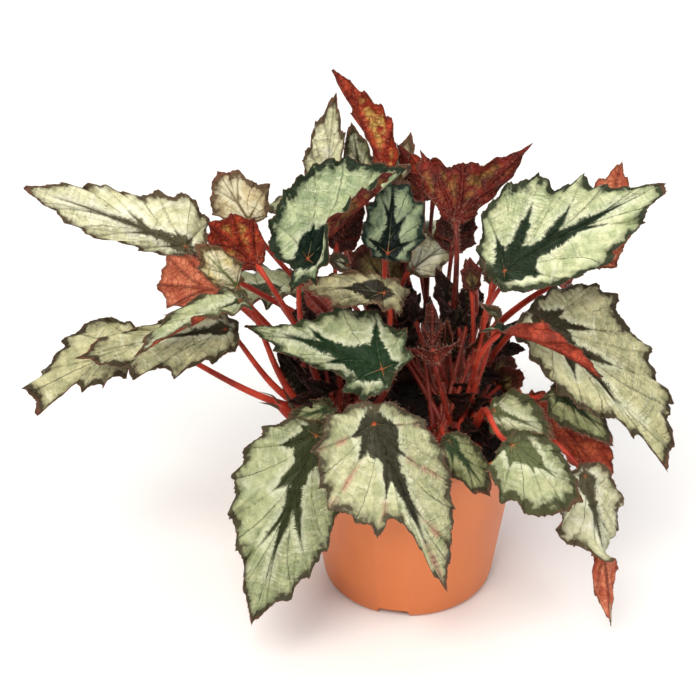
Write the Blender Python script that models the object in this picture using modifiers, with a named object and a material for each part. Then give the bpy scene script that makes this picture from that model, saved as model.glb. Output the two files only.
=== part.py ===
# Potted rex begonia: a 12 cm nursery pot, its soil, three creeping rhizomes with their
# leaf stalks, and one thin arched blade for each leaf.
# The origin is the centre of the pot's base, on the surface that it stands on. +Z is up,
# and the front of the plant faces -Y.
import math
import random
from collections import namedtuple

import bmesh
import bpy
from mathutils import Matrix, Vector
from mathutils.geometry import interpolate_bezier

MM = 0.001
CLEARANCE = 0.35 * MM

# The pot's wall tapers evenly from the foot to the neck, and a thicker rim stands on it.
POT_HEIGHT = 101 * MM
POT_FOOT_RADIUS = 44 * MM
POT_NECK_RADIUS = 57.4 * MM
POT_NECK_HEIGHT = 96 * MM
POT_RIM_RADIUS = 59.8 * MM
POT_RIM_HEIGHT = 5 * MM
POT_WALL = 1.3 * MM
POT_STEPS = 48

# The base stands on a ring and a centre pad. Water leaves through holes between them and
# through slots in the ring.
BASE_UNDERSIDE = 2.5 * MM
BASE_TOP = 4 * MM
CENTRE_PAD_RADIUS = 14 * MM
FOOT_RING_RADIUS = 33 * MM
DRAIN_COUNT = 4
DRAIN_TURN = math.radians(-101)
DRAIN_SLOT_WIDTH = 20 * MM
DRAIN_HOLE_RADIUS = 4 * MM
DRAIN_HOLE_REACH = 23.5 * MM

SOIL_EDGE_HEIGHT = 93 * MM
SOIL_HEAP = 4 * MM

# The rhizomes lie half sunk in the soil, with a swelling at each old leaf scar. Their blunt
# ends and the feet of the stalks are placed in shares of their radius.
RHIZOME_RADIUS = 7.5 * MM
RHIZOME_HEIGHT = 97.5 * MM
RHIZOME_NODES = 4
RHIZOME_WAIST = 0.84
RHIZOME_END = 0.5
BED_CLEARANCE = 0.5 * MM

STALK_FOOT = 0.4
STALK_BASE_RADIUS = 2.4 * MM
STALK_TOP_RADIUS = 1.25 * MM
STALK_POINTS = 8
STALK_RISE = 0.3
STALK_DROP = 0.3
STALK_LEAN = 0.45
STALK_CLEARANCE = 0.6 * MM

BLADE_THICKNESS = 0.8 * MM
RINGS = (0, 0.42, 0.76, 1)
SMALL_RINGS = (0, 0.6, 1)
SMALL_LEAF = 36

# The edge is cut between the corners where the veins end, and rippled by a share of the
# blade's length. The midrib bends away from the face, and the lobes behind the junction
# bend down more sharply than the rest.
CUT_DEPTH = (0.02, 0.09)
DROOP = math.radians(25)
LOBE_BEND = 5
RIPPLES = 2.5
RIPPLE_HEIGHT = 0.025
FOLD_AT_JUNCTION = 0.35
FOLD_FULL_AT = 0.25

# Each rhizome runs between two points of the pot's plan, in mm.
Rhizome = namedtuple("Rhizome", "name start end")
RHIZOMES = (
    Rhizome("rhizome_left", (-36, -26), (-33, 18)),
    Rhizome("rhizome_right", (27, -24), (25, 18)),
    Rhizome("rhizome_back", (-20, 36), (28, 34)),
)

# A leaf is set by its junction, where the stalk meets the blade, and by its tip, in mm.
# face is the way that its upper side looks. left and right are the corners of its edge on
# each side of the midrib as the upper side is seen with its tip up, in shares of its
# length: how far along the midrib and how far out from it, from the tip round to the sinus
# behind the junction. A fold lifts a side towards the face, twist turns the tip about the
# midrib, and meet is the angle between the stalk and the blade, all in degrees. rise is how
# far the stalk climbs before it leans over, and finish is the colour of the side that is
# seen from the front.
Leaf = namedtuple(
    "Leaf",
    "name rhizome junction tip face left right fold_left fold_right twist meet rise finish",
)

LEAF_COLOURS = {
    "silver_leaf": (0.42, 0.48, 0.34),
    "red_leaf": (0.32, 0.05, 0.03),
    "olive_leaf": (0.09, 0.1, 0.06),
}

PLAIN_EDGE = (
    (0.78, 0.12), (0.55, 0.25), (0.3, 0.35), (0.05, 0.34), (-0.16, 0.2), (-0.14, 0.03)
)


def leaf(
    name,
    rhizome,
    junction,
    tip,
    face,
    left=PLAIN_EDGE,
    right=PLAIN_EDGE,
    fold=(8, 8),
    twist=0,
    meet=50,
    rise=STALK_RISE,
    finish="silver_leaf",
):
    shape = (left, right, *fold, twist)
    return Leaf(name, rhizome, junction, tip, face, *shape, meet, rise, finish)


LEFT, RIGHT, BACK = (r.name for r in RHIZOMES)
LEAVES = (
    leaf(
        "leaf_front", LEFT, (-19, -62, 138), (17, -88, 55), (0, -0.8, 0.6),
        left=((0.78, 0.11), (0.6, 0.2), (0.44, 0.25), (0.28, 0.28), (0.1, 0.25),
              (-0.05, 0.15), (-0.11, 0.03)),
        right=((0.88, 0.03), (0.7, 0.04), (0.51, 0.08), (0.55, 0.22), (0.41, 0.29),
               (0.3, 0.39), (0.18, 0.38), (0, 0.34), (-0.14, 0.2), (-0.13, 0.03)),
    ),
    leaf(
        "leaf_front_left", LEFT, (-47, -50, 122), (-79, -84, 30), (-0.2, -0.8, 0.55),
        left=((0.9, 0.05), (0.79, 0.14), (0.65, 0.2), (0.5, 0.24), (0.32, 0.24),
              (0.14, 0.22), (-0.03, 0.14), (-0.07, 0.02)),
        right=((0.85, 0.08), (0.7, 0.13), (0.66, 0.18), (0.53, 0.26), (0.33, 0.31),
               (0.18, 0.3), (0.05, 0.24), (-0.04, 0.14), (-0.07, 0.03)),
    ),
    leaf(
        "leaf_centre", LEFT, (-15, -42, 156), (-85, -9, 160), (-0.1, -0.45, 0.9),
        left=((0.85, 0.06), (0.71, 0.12), (0.44, 0.15), (0.26, 0.13), (0.18, 0.21),
              (0.02, 0.24), (-0.1, 0.12), (-0.09, 0.02)),
        right=((0.78, 0.05), (0.61, 0.13), (0.43, 0.28), (0.18, 0.34), (-0.03, 0.29),
               (-0.14, 0.15), (-0.1, 0.03)),
        fold=(-32, 5),
    ),
    leaf(
        "leaf_upper_left", LEFT, (-51, -12, 200), (-1, 30, 227), (-0.2, -0.75, 0.6),
        left=((0.83, 0.17), (0.72, 0.35), (0.5, 0.45), (0.22, 0.46), (0.02, 0.4),
              (-0.14, 0.24), (-0.13, 0.04)),
        right=((0.75, 0.1), (0.45, 0.24), (0.2, 0.26), (-0.02, 0.22), (-0.22, 0.12),
               (-0.2, 0.02)),
        fold=(5, 100),
    ),
    leaf(
        "leaf_upper_centre", BACK, (-12, 8, 190), (-9, 34, 219), (0.2, -0.75, 0.6),
        left=((0.82, 0.22), (0.52, 0.35), (0.2, 0.4), (-0.05, 0.22), (-0.08, 0.03)),
        right=((0.92, 0.22), (0.7, 0.37), (0.5, 0.45), (0.25, 0.46), (-0.06, 0.28),
               (-0.11, 0.03)),
    ),
    leaf(
        "leaf_mid", LEFT, (-14, -22, 187), (-55, -25, 191), (0, -0.3, 0.95),
        left=((0.86, 0.1), (0.65, 0.24), (0.37, 0.25), (0.16, 0.15), (0, 0.28),
              (-0.28, 0.18), (-0.3, 0.04)),
        right=((0.81, 0.14), (0.48, 0.24), (0.18, 0.25), (-0.13, 0.25), (-0.4, 0.24),
               (-0.34, 0.04)),
        fold=(-10, 8),
    ),
    leaf(
        "leaf_right_high", RIGHT, (44, -15, 195), (125, 25, 220), (0.1, -0.5, 0.86),
        left=((0.85, 0.05), (0.68, 0.15), (0.65, 0.25), (0.52, 0.24), (0.44, 0.37),
              (0.28, 0.39), (0.08, 0.34), (-0.06, 0.18), (-0.08, 0.03)),
        right=((0.94, 0.05), (0.77, 0.14), (0.48, 0.24), (0.25, 0.22), (0.06, 0.18),
               (-0.07, 0.09), (-0.08, 0.02)),
        fold=(4, -14),
    ),
    leaf(
        "leaf_right_low", RIGHT, (64, -5, 159), (125, -45, 96), (0.45, -0.5, 0.75),
        left=((0.92, 0.13), (0.78, 0.28), (0.63, 0.29), (0.48, 0.39), (0.35, 0.35),
              (0.2, 0.4), (0.05, 0.4), (-0.1, 0.24), (-0.1, 0.03)),
        right=((0.86, 0.02), (0.76, 0.06), (0.62, 0.11), (0.48, 0.21), (0.3, 0.25),
               (0.1, 0.25), (-0.08, 0.14), (-0.1, 0.03)),
    ),
    leaf(
        "leaf_front_right", RIGHT, (47, -72, 133), (81, -84, 109), (0.25, -0.7, 0.65),
        left=((0.84, 0.14), (0.56, 0.26), (0.25, 0.32), (-0.05, 0.18), (-0.08, 0.03)),
        right=((0.97, 0.2), (0.78, 0.46), (0.55, 0.57), (0.24, 0.6), (-0.06, 0.42),
               (-0.1, 0.04)),
        meet=40,
        rise=1,
    ),
    leaf(
        "leaf_small_right", RIGHT, (40, -36, 127), (70, -48, 119), (0.1, -0.6, 0.8),
        left=((0.85, 0.17), (0.5, 0.4), (0.1, 0.4), (-0.08, 0.18), (-0.08, 0.03)),
        right=((0.78, 0.2), (0.38, 0.36), (0.08, 0.32), (-0.08, 0.15), (-0.08, 0.03)),
    ),
    leaf(
        "leaf_red_right", RIGHT, (60, -18, 122), (98, -42, 86), (0.3, 0.9, -0.1),
        left=((0.86, 0.15), (0.54, 0.2), (0.24, 0.18), (-0.04, 0.08)),
        right=((0.88, 0.18), (0.59, 0.28), (0.33, 0.19), (0.1, 0.12), (-0.05, 0.05)),
        meet=80,
        rise=0.5,
        finish="red_leaf",
    ),
    leaf(
        "leaf_low_front", RIGHT, (17, -56, 124), (38, -62, 94), (0.1, -0.75, 0.6),
        left=((0.72, 0.2), (0.34, 0.28), (0, 0.2), (-0.08, 0.03)),
        right=((0.8, 0.16), (0.43, 0.27), (0.04, 0.22), (-0.08, 0.03)),
        meet=60,
        finish="olive_leaf",
    ),
    leaf(
        "leaf_low_left", LEFT, (-40, -24, 119), (-64, -25, 111), (-0.2, -0.6, 0.75),
        left=((0.76, 0.18), (0.4, 0.28), (0, 0.24), (-0.12, 0.05)),
        right=((0.76, 0.18), (0.36, 0.3), (-0.05, 0.22), (-0.12, 0.05)),
        finish="olive_leaf",
    ),
    leaf(
        "leaf_left_mid", LEFT, (-84, -14, 177), (-135, -38, 160), (-0.2, -0.5, 0.8),
        left=((0.78, 0.1), (0.48, 0.18), (0.18, 0.2), (-0.06, 0.1)),
        right=((0.81, 0.11), (0.6, 0.19), (0.24, 0.19), (0, 0.15), (-0.1, 0.05)),
        fold=(80, 5),
    ),
    leaf(
        "leaf_left_under", LEFT, (-92, -8, 156), (-164, -23, 149), (-0.1, -0.55, 0.8),
        left=((0.87, 0.1), (0.71, 0.16), (0.68, 0.24), (0.5, 0.2), (0.42, 0.29),
              (0.16, 0.25), (-0.04, 0.17), (-0.1, 0.04)),
        right=((0.83, 0.09), (0.58, 0.1), (0.28, 0.15), (-0.05, 0.12), (-0.1, 0.03)),
    ),
    leaf(
        "leaf_far_left", LEFT, (-138, -2, 147), (-185, -25, 116), (-0.3, -0.5, 0.8),
        left=((0.67, 0.04), (0.6, 0.15), (0.45, 0.24), (0.26, 0.27), (0.02, 0.16),
              (-0.08, 0.04)),
        right=((0.96, 0.26), (0.74, 0.28), (0.46, 0.35), (0.1, 0.32), (-0.06, 0.15),
               (-0.08, 0.04)),
    ),
    leaf(
        "leaf_red_left", LEFT, (-92, 12, 165), (-126, 8, 172), (-0.2, 0.9, -0.2),
        left=((0.9, 0.4), (0.66, 0.48), (0.28, 0.36), (-0.05, 0.15)),
        right=((0.8, 0.36), (0.48, 0.33), (0.12, 0.25), (-0.08, 0.1)),
        meet=70,
        finish="red_leaf",
    ),
    leaf(
        "leaf_left_high", BACK, (-112, 25, 183), (-194, 45, 205), (-0.1, -0.55, 0.8),
        left=((0.81, 0.07), (0.7, 0.12), (0.51, 0.15), (0.37, 0.12), (0.24, 0.13),
              (0.1, 0.1), (-0.04, 0.06), (-0.06, 0.02)),
        right=((0.78, 0.09), (0.56, 0.17), (0.44, 0.15), (0.27, 0.24), (0.1, 0.29),
               (-0.08, 0.2), (-0.1, 0.03)),
        fold=(-30, 5),
    ),
    leaf(
        "leaf_back_left", BACK, (-81, 35, 192), (-97, 60, 205), (-0.1, -0.6, 0.75),
        left=((0.78, 0.24), (0.38, 0.44), (-0.05, 0.26), (-0.1, 0.04)),
        right=((0.78, 0.28), (0.26, 0.56), (-0.1, 0.28), (-0.1, 0.04)),
    ),
    leaf(
        "leaf_red_left_high", LEFT, (-77, 14, 180), (-100, 8, 208), (-0.2, 0.9, -0.2),
        left=((0.76, 0.3), (0.5, 0.46), (0.1, 0.3), (-0.06, 0.1)),
        right=((0.75, 0.2), (0.4, 0.3), (0.1, 0.22), (-0.06, 0.08)),
        meet=70,
        finish="red_leaf",
    ),
    leaf(
        "leaf_curled_left", LEFT, (-86, 0, 176), (-105, -10, 207), (-0.1, -0.6, 0.7),
        left=((0.75, 0.2), (0.35, 0.22), (-0.05, 0.1)),
        right=((0.83, 0.18), (0.28, 0.28), (-0.05, 0.1)),
    ),
    leaf(
        "leaf_top", BACK, (-42, 42, 204), (-37, 60, 252), (-0.3, -0.9, 0.2),
        left=((0.76, 0.11), (0.68, 0.17), (0.4, 0.22), (0.3, 0.27), (0, 0.2), (-0.08, 0.04)),
        right=((0.74, 0.09), (0.62, 0.15), (0.38, 0.16), (0, 0.18), (-0.08, 0.04)),
    ),
    leaf(
        "leaf_red_top", BACK, (-13, 44, 212), (-39, 52, 270), (0.2, 0.95, -0.1),
        left=((0.83, 0.07), (0.53, 0.2), (0.36, 0.21), (0.14, 0.17), (-0.05, 0.06)),
        right=((0.8, 0.07), (0.5, 0.16), (0.2, 0.16), (-0.05, 0.06)),
        fold=(8, 75),
        meet=75,
        finish="red_leaf",
    ),
    leaf(
        "leaf_top_behind", BACK, (-24, 56, 200), (-30, 70, 229), (0, -0.9, 0.3),
        left=((0.7, 0.16), (0.35, 0.25), (0, 0.2), (-0.08, 0.04)),
        right=((0.56, 0.22), (0.2, 0.26), (0, 0.18), (-0.08, 0.04)),
        finish="olive_leaf",
    ),
    leaf(
        "leaf_top_curled", BACK, (-6, 56, 202), (0, 70, 222), (-0.1, -0.8, 0.5),
        left=((0.7, 0.16), (0.3, 0.2), (-0.05, 0.08)),
        right=((0.8, 0.16), (0.3, 0.2), (-0.05, 0.08)),
    ),
    leaf(
        "leaf_red_right_high", BACK, (21, 20, 201), (58, 35, 236), (0, 0.9, -0.2),
        left=((0.66, 0.12), (0.41, 0.12), (0.2, 0.12), (-0.04, 0.06)),
        right=((0.7, 0.11), (0.44, 0.32), (0.3, 0.52), (0.26, 0.68), (0.12, 0.6), (0, 0.38),
               (-0.05, 0.1)),
        meet=75,
        finish="red_leaf",
    ),
    leaf(
        "leaf_mid_back", BACK, (1, 25, 170), (21, 45, 174), (0.1, -0.7, 0.6),
        left=((0.89, 0.2), (0.62, 0.45), (0.1, 0.38), (-0.1, 0.06)),
        right=((0.83, 0.2), (0.3, 0.4), (0, 0.22), (-0.1, 0.06)),
    ),
    leaf(
        "leaf_young_right", RIGHT, (30, -5, 178), (28, 2, 192), (-0.2, -0.8, 0.5),
        left=((0.6, 0.34), (0.1, 0.25), (-0.1, 0.08)),
        right=((0.55, 0.36), (0.1, 0.25), (-0.1, 0.08)),
        meet=65,
        finish="olive_leaf",
    ),
    leaf(
        "leaf_young_centre", RIGHT, (10, -20, 151), (10, -6, 171), (0, 0.9, 0.1),
        left=((0.5, 0.22), (0.1, 0.16)),
        right=((0.5, 0.22), (0.1, 0.16)),
        meet=80,
        finish="red_leaf",
    ),
    leaf(
        "leaf_folded_right", RIGHT, (43, -32, 171), (91, -42, 152), (0.1, 0.1, 1),
        left=((0.7, 0.05), (0.35, 0.08), (0, 0.16), (-0.12, 0.06)),
        right=((0.85, 0.08), (0.6, 0.15), (0.35, 0.2), (0, 0.18), (-0.18, 0.1)),
        fold=(15, 100),
        finish="red_leaf",
    ),
    leaf(
        "leaf_low_right", RIGHT, (85, -55, 101), (102, -68, 14), (0.3, -0.8, 0.5),
        left=((0.74, 0.08), (0.62, 0.08), (0.49, 0.12), (0.37, 0.11), (0.18, 0.18),
              (-0.04, 0.12), (-0.07, 0.02)),
        right=((0.7, 0.06), (0.49, 0.09), (0.36, 0.18), (0.26, 0.24), (0.1, 0.2),
               (-0.05, 0.1), (-0.07, 0.02)),
        twist=-180,
        rise=0.6,
    ),
    leaf(
        "leaf_back_right", BACK, (92, 32, 172), (104, 42, 222), (0.3, 0.8, 0.3),
        left=((0.7, 0.16), (0.36, 0.28), (0, 0.24), (-0.1, 0.1)),
        right=((0.69, 0.19), (0.36, 0.26), (0.08, 0.24), (-0.1, 0.1)),
        meet=75,
        rise=0.6,
        finish="red_leaf",
    ),
    leaf("leaf_behind_left", LEFT, (-70, 48, 140), (-108, 92, 112), (-0.5, 0.6, 0.7)),
    leaf("leaf_behind_low", BACK, (-34, 72, 128), (-44, 116, 66), (-0.1, 0.8, 0.6)),
    leaf("leaf_behind_middle", BACK, (6, 76, 160), (16, 128, 130), (0.1, 0.6, 0.8)),
    leaf("leaf_behind_right", BACK, (52, 62, 142), (88, 104, 104), (0.5, 0.6, 0.7)),
    leaf("leaf_behind_high", BACK, (-42, 78, 168), (-78, 116, 150), (-0.3, 0.4, 0.9)),
)


def ease(value):
    value = min(1, max(0, value))
    return value * value * (3 - 2 * value)


def blade_edge(leaf):
    """The flat blade's edge from the left side of the sinus round the tip to its right."""
    draw = random.Random(leaf.name)
    right = [(along, -out) for along, out in leaf.right]
    corners = [*reversed(leaf.left), (1, 0), *right]
    edge = [corners[0]]
    for first, second in zip(corners, corners[1:]):
        kept = 1 - draw.uniform(*CUT_DEPTH)
        middle = [kept * (first[axis] + second[axis]) / 2 for axis in (0, 1)]
        edge += [middle, second]
    return edge


def bend(along, side, height):
    """A point of the flat blade once the midrib is bent, with the junction at rest."""
    droop = DROOP * LOBE_BEND if along < 0 else DROOP
    turn = droop * along
    return Vector(
        (
            math.sin(turn) / droop + height * math.sin(turn),
            side,
            (math.cos(turn) - 1) / droop + height * math.cos(turn),
        )
    )


def blade_point(leaf, along, side, reach):
    """Where a point of the flat blade comes to lie. reach is its share of the way out."""
    around = math.atan2(side, along)
    height = RIPPLE_HEIGHT * reach**2 * math.sin(2 * RIPPLES * around + len(leaf.name))
    fold = leaf.fold_left if side > 0 else leaf.fold_right
    share = FOLD_AT_JUNCTION + (1 - FOLD_AT_JUNCTION) * ease(along / FOLD_FULL_AT)
    lift = math.radians(fold) * share
    side, height = (
        side * math.cos(lift) - math.copysign(height * math.sin(lift), side),
        abs(side) * math.sin(lift) + height * math.cos(lift),
    )
    roll = math.radians(leaf.twist) * max(0, along) ** 2
    side, height = (
        side * math.cos(roll) - height * math.sin(roll),
        side * math.sin(roll) + height * math.cos(roll),
    )
    return bend(along, side, height)


def axes(along, up):
    """Three square axes as columns: along, across, and the one nearest to up."""
    first = along.normalized()
    third = (up - up.dot(first) * first).normalized()
    return Matrix((first, third.cross(first), third)).transposed()


def blade_frame(leaf):
    """The matrix that puts a bent blade of unit length between its junction and its tip."""
    junction, tip = Vector(leaf.junction) * MM, Vector(leaf.tip) * MM
    chord = bend(1, 0, 0)
    local = axes(chord, Vector((0, 0, 1)))
    world = axes(tip - junction, Vector(leaf.face))
    turn = world @ local.transposed()
    size = (tip - junction).length / chord.length
    return Matrix.LocRotScale(junction, turn, Vector((size, size, size)))


def stalk_end(leaf):
    """Where the stalk stops under the blade, and which way it points there."""
    turn = blade_frame(leaf).to_3x3().normalized()
    meet = math.radians(leaf.meet)
    direction = turn @ Vector((math.cos(meet), 0, math.sin(meet)))
    below = BLADE_THICKNESS / 2 + STALK_CLEARANCE + STALK_TOP_RADIUS * math.cos(meet)
    return Vector(leaf.junction) * MM - direction * below / math.sin(meet), direction


def material(name, colour, roughness):
    made = bpy.data.materials.new(name)
    made.use_nodes = True
    shader = made.node_tree.nodes["Principled BSDF"]
    shader.inputs["Base Color"].default_value = (*colour, 1)
    shader.inputs["Roughness"].default_value = roughness
    shader.inputs["Metallic"].default_value = 0
    return made


def add_object(name, mesh, collection, finish=None):
    made = bpy.data.objects.new(name, mesh)
    collection.objects.link(made)
    if finish:
        mesh.materials.clear()
        mesh.materials.append(finish)
    return made


def hide(cutter):
    cutter.hide_render = True
    cutter.display_type = "WIRE"


def settle(obj):
    """Applies an object's modifiers to its own mesh."""
    graph = bpy.context.evaluated_depsgraph_get()
    graph.update()
    mesh = bpy.data.meshes.new_from_object(obj.evaluated_get(graph))
    obj.modifiers.clear()
    obj.data = mesh


def boolean(obj, operation, cutter=None, collection=None, solver="EXACT"):
    made = obj.modifiers.new(operation.title(), "BOOLEAN")
    made.operation = operation
    made.solver = solver
    if collection:
        made.operand_type = "COLLECTION"
        made.collection = collection
    else:
        made.object = cutter
    return made


def turned(name, profile, steps, collection, finish):
    """A closed shape turned about Z from a profile of (radius, height), outer side down."""
    mesh = bpy.data.meshes.new(name)
    shape = bmesh.new()
    points = [shape.verts.new((radius, 0, height)) for radius, height in profile]
    for first, second in zip(points, points[1:]):
        shape.edges.new((first, second))
    shape.to_mesh(mesh)
    shape.free()
    made = add_object(name, mesh, collection, finish)
    screw = made.modifiers.new("Turn", "SCREW")
    screw.steps = screw.render_steps = steps
    screw.use_merge_vertices = True
    screw.merge_threshold = 0.01 * MM
    screw.use_normal_calculate = True
    settle(made)
    made.data.shade_smooth()
    made.data.set_sharp_from_angle(angle=math.radians(35))
    return made


def inner_radius(height):
    """The pot wall's inner radius at a height."""
    share = height / POT_NECK_HEIGHT
    return POT_FOOT_RADIUS + (POT_NECK_RADIUS - POT_FOOT_RADIUS) * share - POT_WALL


def make_pot(collection, cutters):
    finish = material("terracotta_plastic", (0.72, 0.25, 0.1), 0.45)
    rim_base = POT_HEIGHT - POT_RIM_HEIGHT
    inside = inner_radius(rim_base)
    lip = POT_RIM_RADIUS - 1.6 * MM
    profile = [
        (0, BASE_TOP),
        (inner_radius(BASE_TOP) - 2 * MM, BASE_TOP),
        (inner_radius(BASE_TOP + 2 * MM), BASE_TOP + 2 * MM),
        (inside, rim_base),
        (lip - 0.8 * MM, rim_base + 2 * MM),
        (lip, POT_HEIGHT - 0.6 * MM),
        (lip + 0.5 * MM, POT_HEIGHT),
        (POT_RIM_RADIUS - 0.3 * MM, POT_HEIGHT),
        (POT_RIM_RADIUS, POT_HEIGHT - 0.6 * MM),
        (POT_RIM_RADIUS - 0.9 * MM, rim_base),
        (POT_NECK_RADIUS, rim_base - 0.8 * MM),
        (POT_FOOT_RADIUS, 3 * MM),
        (POT_FOOT_RADIUS - 0.9 * MM, 0.8 * MM),
        (POT_FOOT_RADIUS - 2.6 * MM, 0),
        (FOOT_RING_RADIUS + 1 * MM, 0),
        (FOOT_RING_RADIUS, BASE_UNDERSIDE),
        (CENTRE_PAD_RADIUS, BASE_UNDERSIDE),
        (CENTRE_PAD_RADIUS, 0),
        (0, 0),
    ]
    pot = turned("pot", profile, POT_STEPS, collection, finish)
    for index in range(DRAIN_COUNT):
        turn = DRAIN_TURN + index * math.tau / DRAIN_COUNT
        for cutter in (slot_cutter(index, turn, cutters), hole_cutter(index, turn, cutters)):
            boolean(pot, "DIFFERENCE", cutter)
    settle(pot)
    return pot


def slot_cutter(index, turn, collection):
    """A wedge-sided block that lifts the foot ring off the surface at a drainage slot."""
    shape = bmesh.new()
    wide, narrow = DRAIN_SLOT_WIDTH / 2, DRAIN_SLOT_WIDTH / 2 - BASE_UNDERSIDE
    bmesh.ops.create_cone(
        shape,
        cap_ends=True,
        segments=4,
        radius1=wide * math.sqrt(2),
        radius2=narrow * math.sqrt(2),
        depth=2 * BASE_UNDERSIDE,
        matrix=Matrix.Rotation(math.radians(45), 4, "Z"),
    )
    mesh = bpy.data.meshes.new(f"slot_{index}")
    shape.to_mesh(mesh)
    shape.free()
    made = add_object(mesh.name, mesh, collection)
    made.rotation_euler.z = turn
    reach = (POT_FOOT_RADIUS + FOOT_RING_RADIUS) / 2
    made.location = (math.cos(turn) * reach, math.sin(turn) * reach, 0)
    hide(made)
    return made


def hole_cutter(index, turn, collection):
    shape = bmesh.new()
    bmesh.ops.create_cone(
        shape,
        cap_ends=True,
        segments=16,
        radius1=DRAIN_HOLE_RADIUS,
        radius2=DRAIN_HOLE_RADIUS,
        depth=4 * BASE_TOP,
    )
    mesh = bpy.data.meshes.new(f"hole_{index}")
    shape.to_mesh(mesh)
    shape.free()
    made = add_object(mesh.name, mesh, collection)
    made.location = (math.cos(turn) * DRAIN_HOLE_REACH, math.sin(turn) * DRAIN_HOLE_REACH, 0)
    hide(made)
    return made


def make_soil(collection, beds):
    finish = material("peat_soil", (0.035, 0.022, 0.015), 0.95)
    bottom = BASE_TOP + CLEARANCE
    profile = [
        (0, SOIL_EDGE_HEIGHT + SOIL_HEAP),
        (inner_radius(SOIL_EDGE_HEIGHT) * 0.5, SOIL_EDGE_HEIGHT + SOIL_HEAP * 0.8),
        (inner_radius(SOIL_EDGE_HEIGHT) * 0.85, SOIL_EDGE_HEIGHT + SOIL_HEAP * 0.2),
        (inner_radius(SOIL_EDGE_HEIGHT) - CLEARANCE, SOIL_EDGE_HEIGHT),
        (inner_radius(BASE_TOP + 2 * MM) - CLEARANCE, BASE_TOP + 2 * MM + CLEARANCE / 2),
        (inner_radius(BASE_TOP) - 2 * MM - CLEARANCE, bottom),
        (0, bottom),
    ]
    soil = turned("soil", profile, POT_STEPS, collection, finish)
    for bed in beds:
        boolean(soil, "DIFFERENCE", bed)
    settle(soil)
    return soil


def tube(name, points, radii, sides, collection):
    """A closed round tube through points, with a radius at each."""
    line = bpy.data.curves.new(name, "CURVE")
    line.dimensions = "3D"
    line.bevel_depth = 1
    line.bevel_resolution = sides
    line.use_fill_caps = True
    spline = line.splines.new("POLY")
    spline.points.add(len(points) - 1)
    for target, point, radius in zip(spline.points, points, radii):
        target.co = (*point, 1)
        target.radius = radius
    holder = bpy.data.objects.new(name + "_line", line)
    collection.objects.link(holder)
    graph = bpy.context.evaluated_depsgraph_get()
    graph.update()
    mesh = bpy.data.meshes.new_from_object(holder.evaluated_get(graph))
    bpy.data.objects.remove(holder)
    shape = bmesh.new()
    shape.from_mesh(mesh)
    bmesh.ops.remove_doubles(shape, verts=shape.verts, dist=0.01 * MM)
    bmesh.ops.recalc_face_normals(shape, faces=shape.faces)
    shape.to_mesh(mesh)
    shape.free()
    mesh.shade_smooth()
    return add_object(name, mesh, collection)


def rhizome_ends(rhizome):
    return [Vector((x * MM, y * MM, RHIZOME_HEIGHT)) for x, y in (rhizome.start, rhizome.end)]


def rhizome_body(rhizome, extra, collection):
    """The creeping stem, or with some extra radius the bed that it lies in."""
    start, end = rhizome_ends(rhizome)
    overhang = (end - start).normalized() * (RHIZOME_RADIUS * RHIZOME_END + extra)
    steps = 2 * RHIZOME_NODES
    points = [start.lerp(end, step / steps) for step in range(steps + 1)]
    points = [start - overhang, *points, end + overhang]
    radii = [RHIZOME_RADIUS * (RHIZOME_WAIST if step % 2 else 1) for step in range(steps + 1)]
    blunt = RHIZOME_RADIUS * RHIZOME_END
    radii = [radius + extra for radius in (blunt, *radii, blunt)]
    name = rhizome.name + ("_bed" if extra else "")
    return tube(name, points, radii, 2, collection)


def stalk_roots(rhizome, leaves):
    """Where each leaf's stalk leaves the rhizome: side by side along it, in their order."""
    start, end = rhizome_ends(rhizome)
    line = end - start
    order = sorted(leaves, key=lambda leaf: line.dot(Vector(leaf.junction)))
    roots = {}
    for place, leaf in enumerate(order):
        middle = start.lerp(end, (place + 0.5) / len(order))
        out = Vector(leaf.junction) * MM - middle
        out -= line * out.dot(line) / line.length_squared
        out.z = 0
        roots[leaf.name] = middle + out.normalized() * RHIZOME_RADIUS * STALK_FOOT
    return roots


def stalk(leaf, root, collection):
    end, direction = stalk_end(leaf)
    span = end - root
    flat = Vector((span.x, span.y, 0))
    upward = (Vector((0, 0, 1)) + STALK_LEAN * flat.normalized()).normalized()
    path = interpolate_bezier(
        root,
        root + upward * span.length * leaf.rise,
        end - direction * span.length * STALK_DROP,
        end,
        STALK_POINTS,
    )
    radii = [
        STALK_BASE_RADIUS + (STALK_TOP_RADIUS - STALK_BASE_RADIUS) * place / (STALK_POINTS - 1)
        for place in range(STALK_POINTS)
    ]
    return tube("stalk_" + leaf.name, path, radii, 1, collection)


def make_rhizome(rhizome, collection, finish):
    """A rhizome with every stalk that grows from it, fused as the one plant body it is."""
    body = rhizome_body(rhizome, 0, collection)
    body.data.materials.append(finish)
    leaves = [leaf for leaf in LEAVES if leaf.rhizome == rhizome.name]
    roots = stalk_roots(rhizome, leaves)
    stalks = bpy.data.collections.new(rhizome.name + "_stalks")
    bpy.context.scene.collection.children.link(stalks)
    for each in leaves:
        stalk(each, roots[each.name], stalks)
    boolean(body, "UNION", collection=stalks)
    settle(body)
    for part in list(stalks.objects):
        bpy.data.objects.remove(part)
    bpy.data.collections.remove(stalks)
    return body


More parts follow.
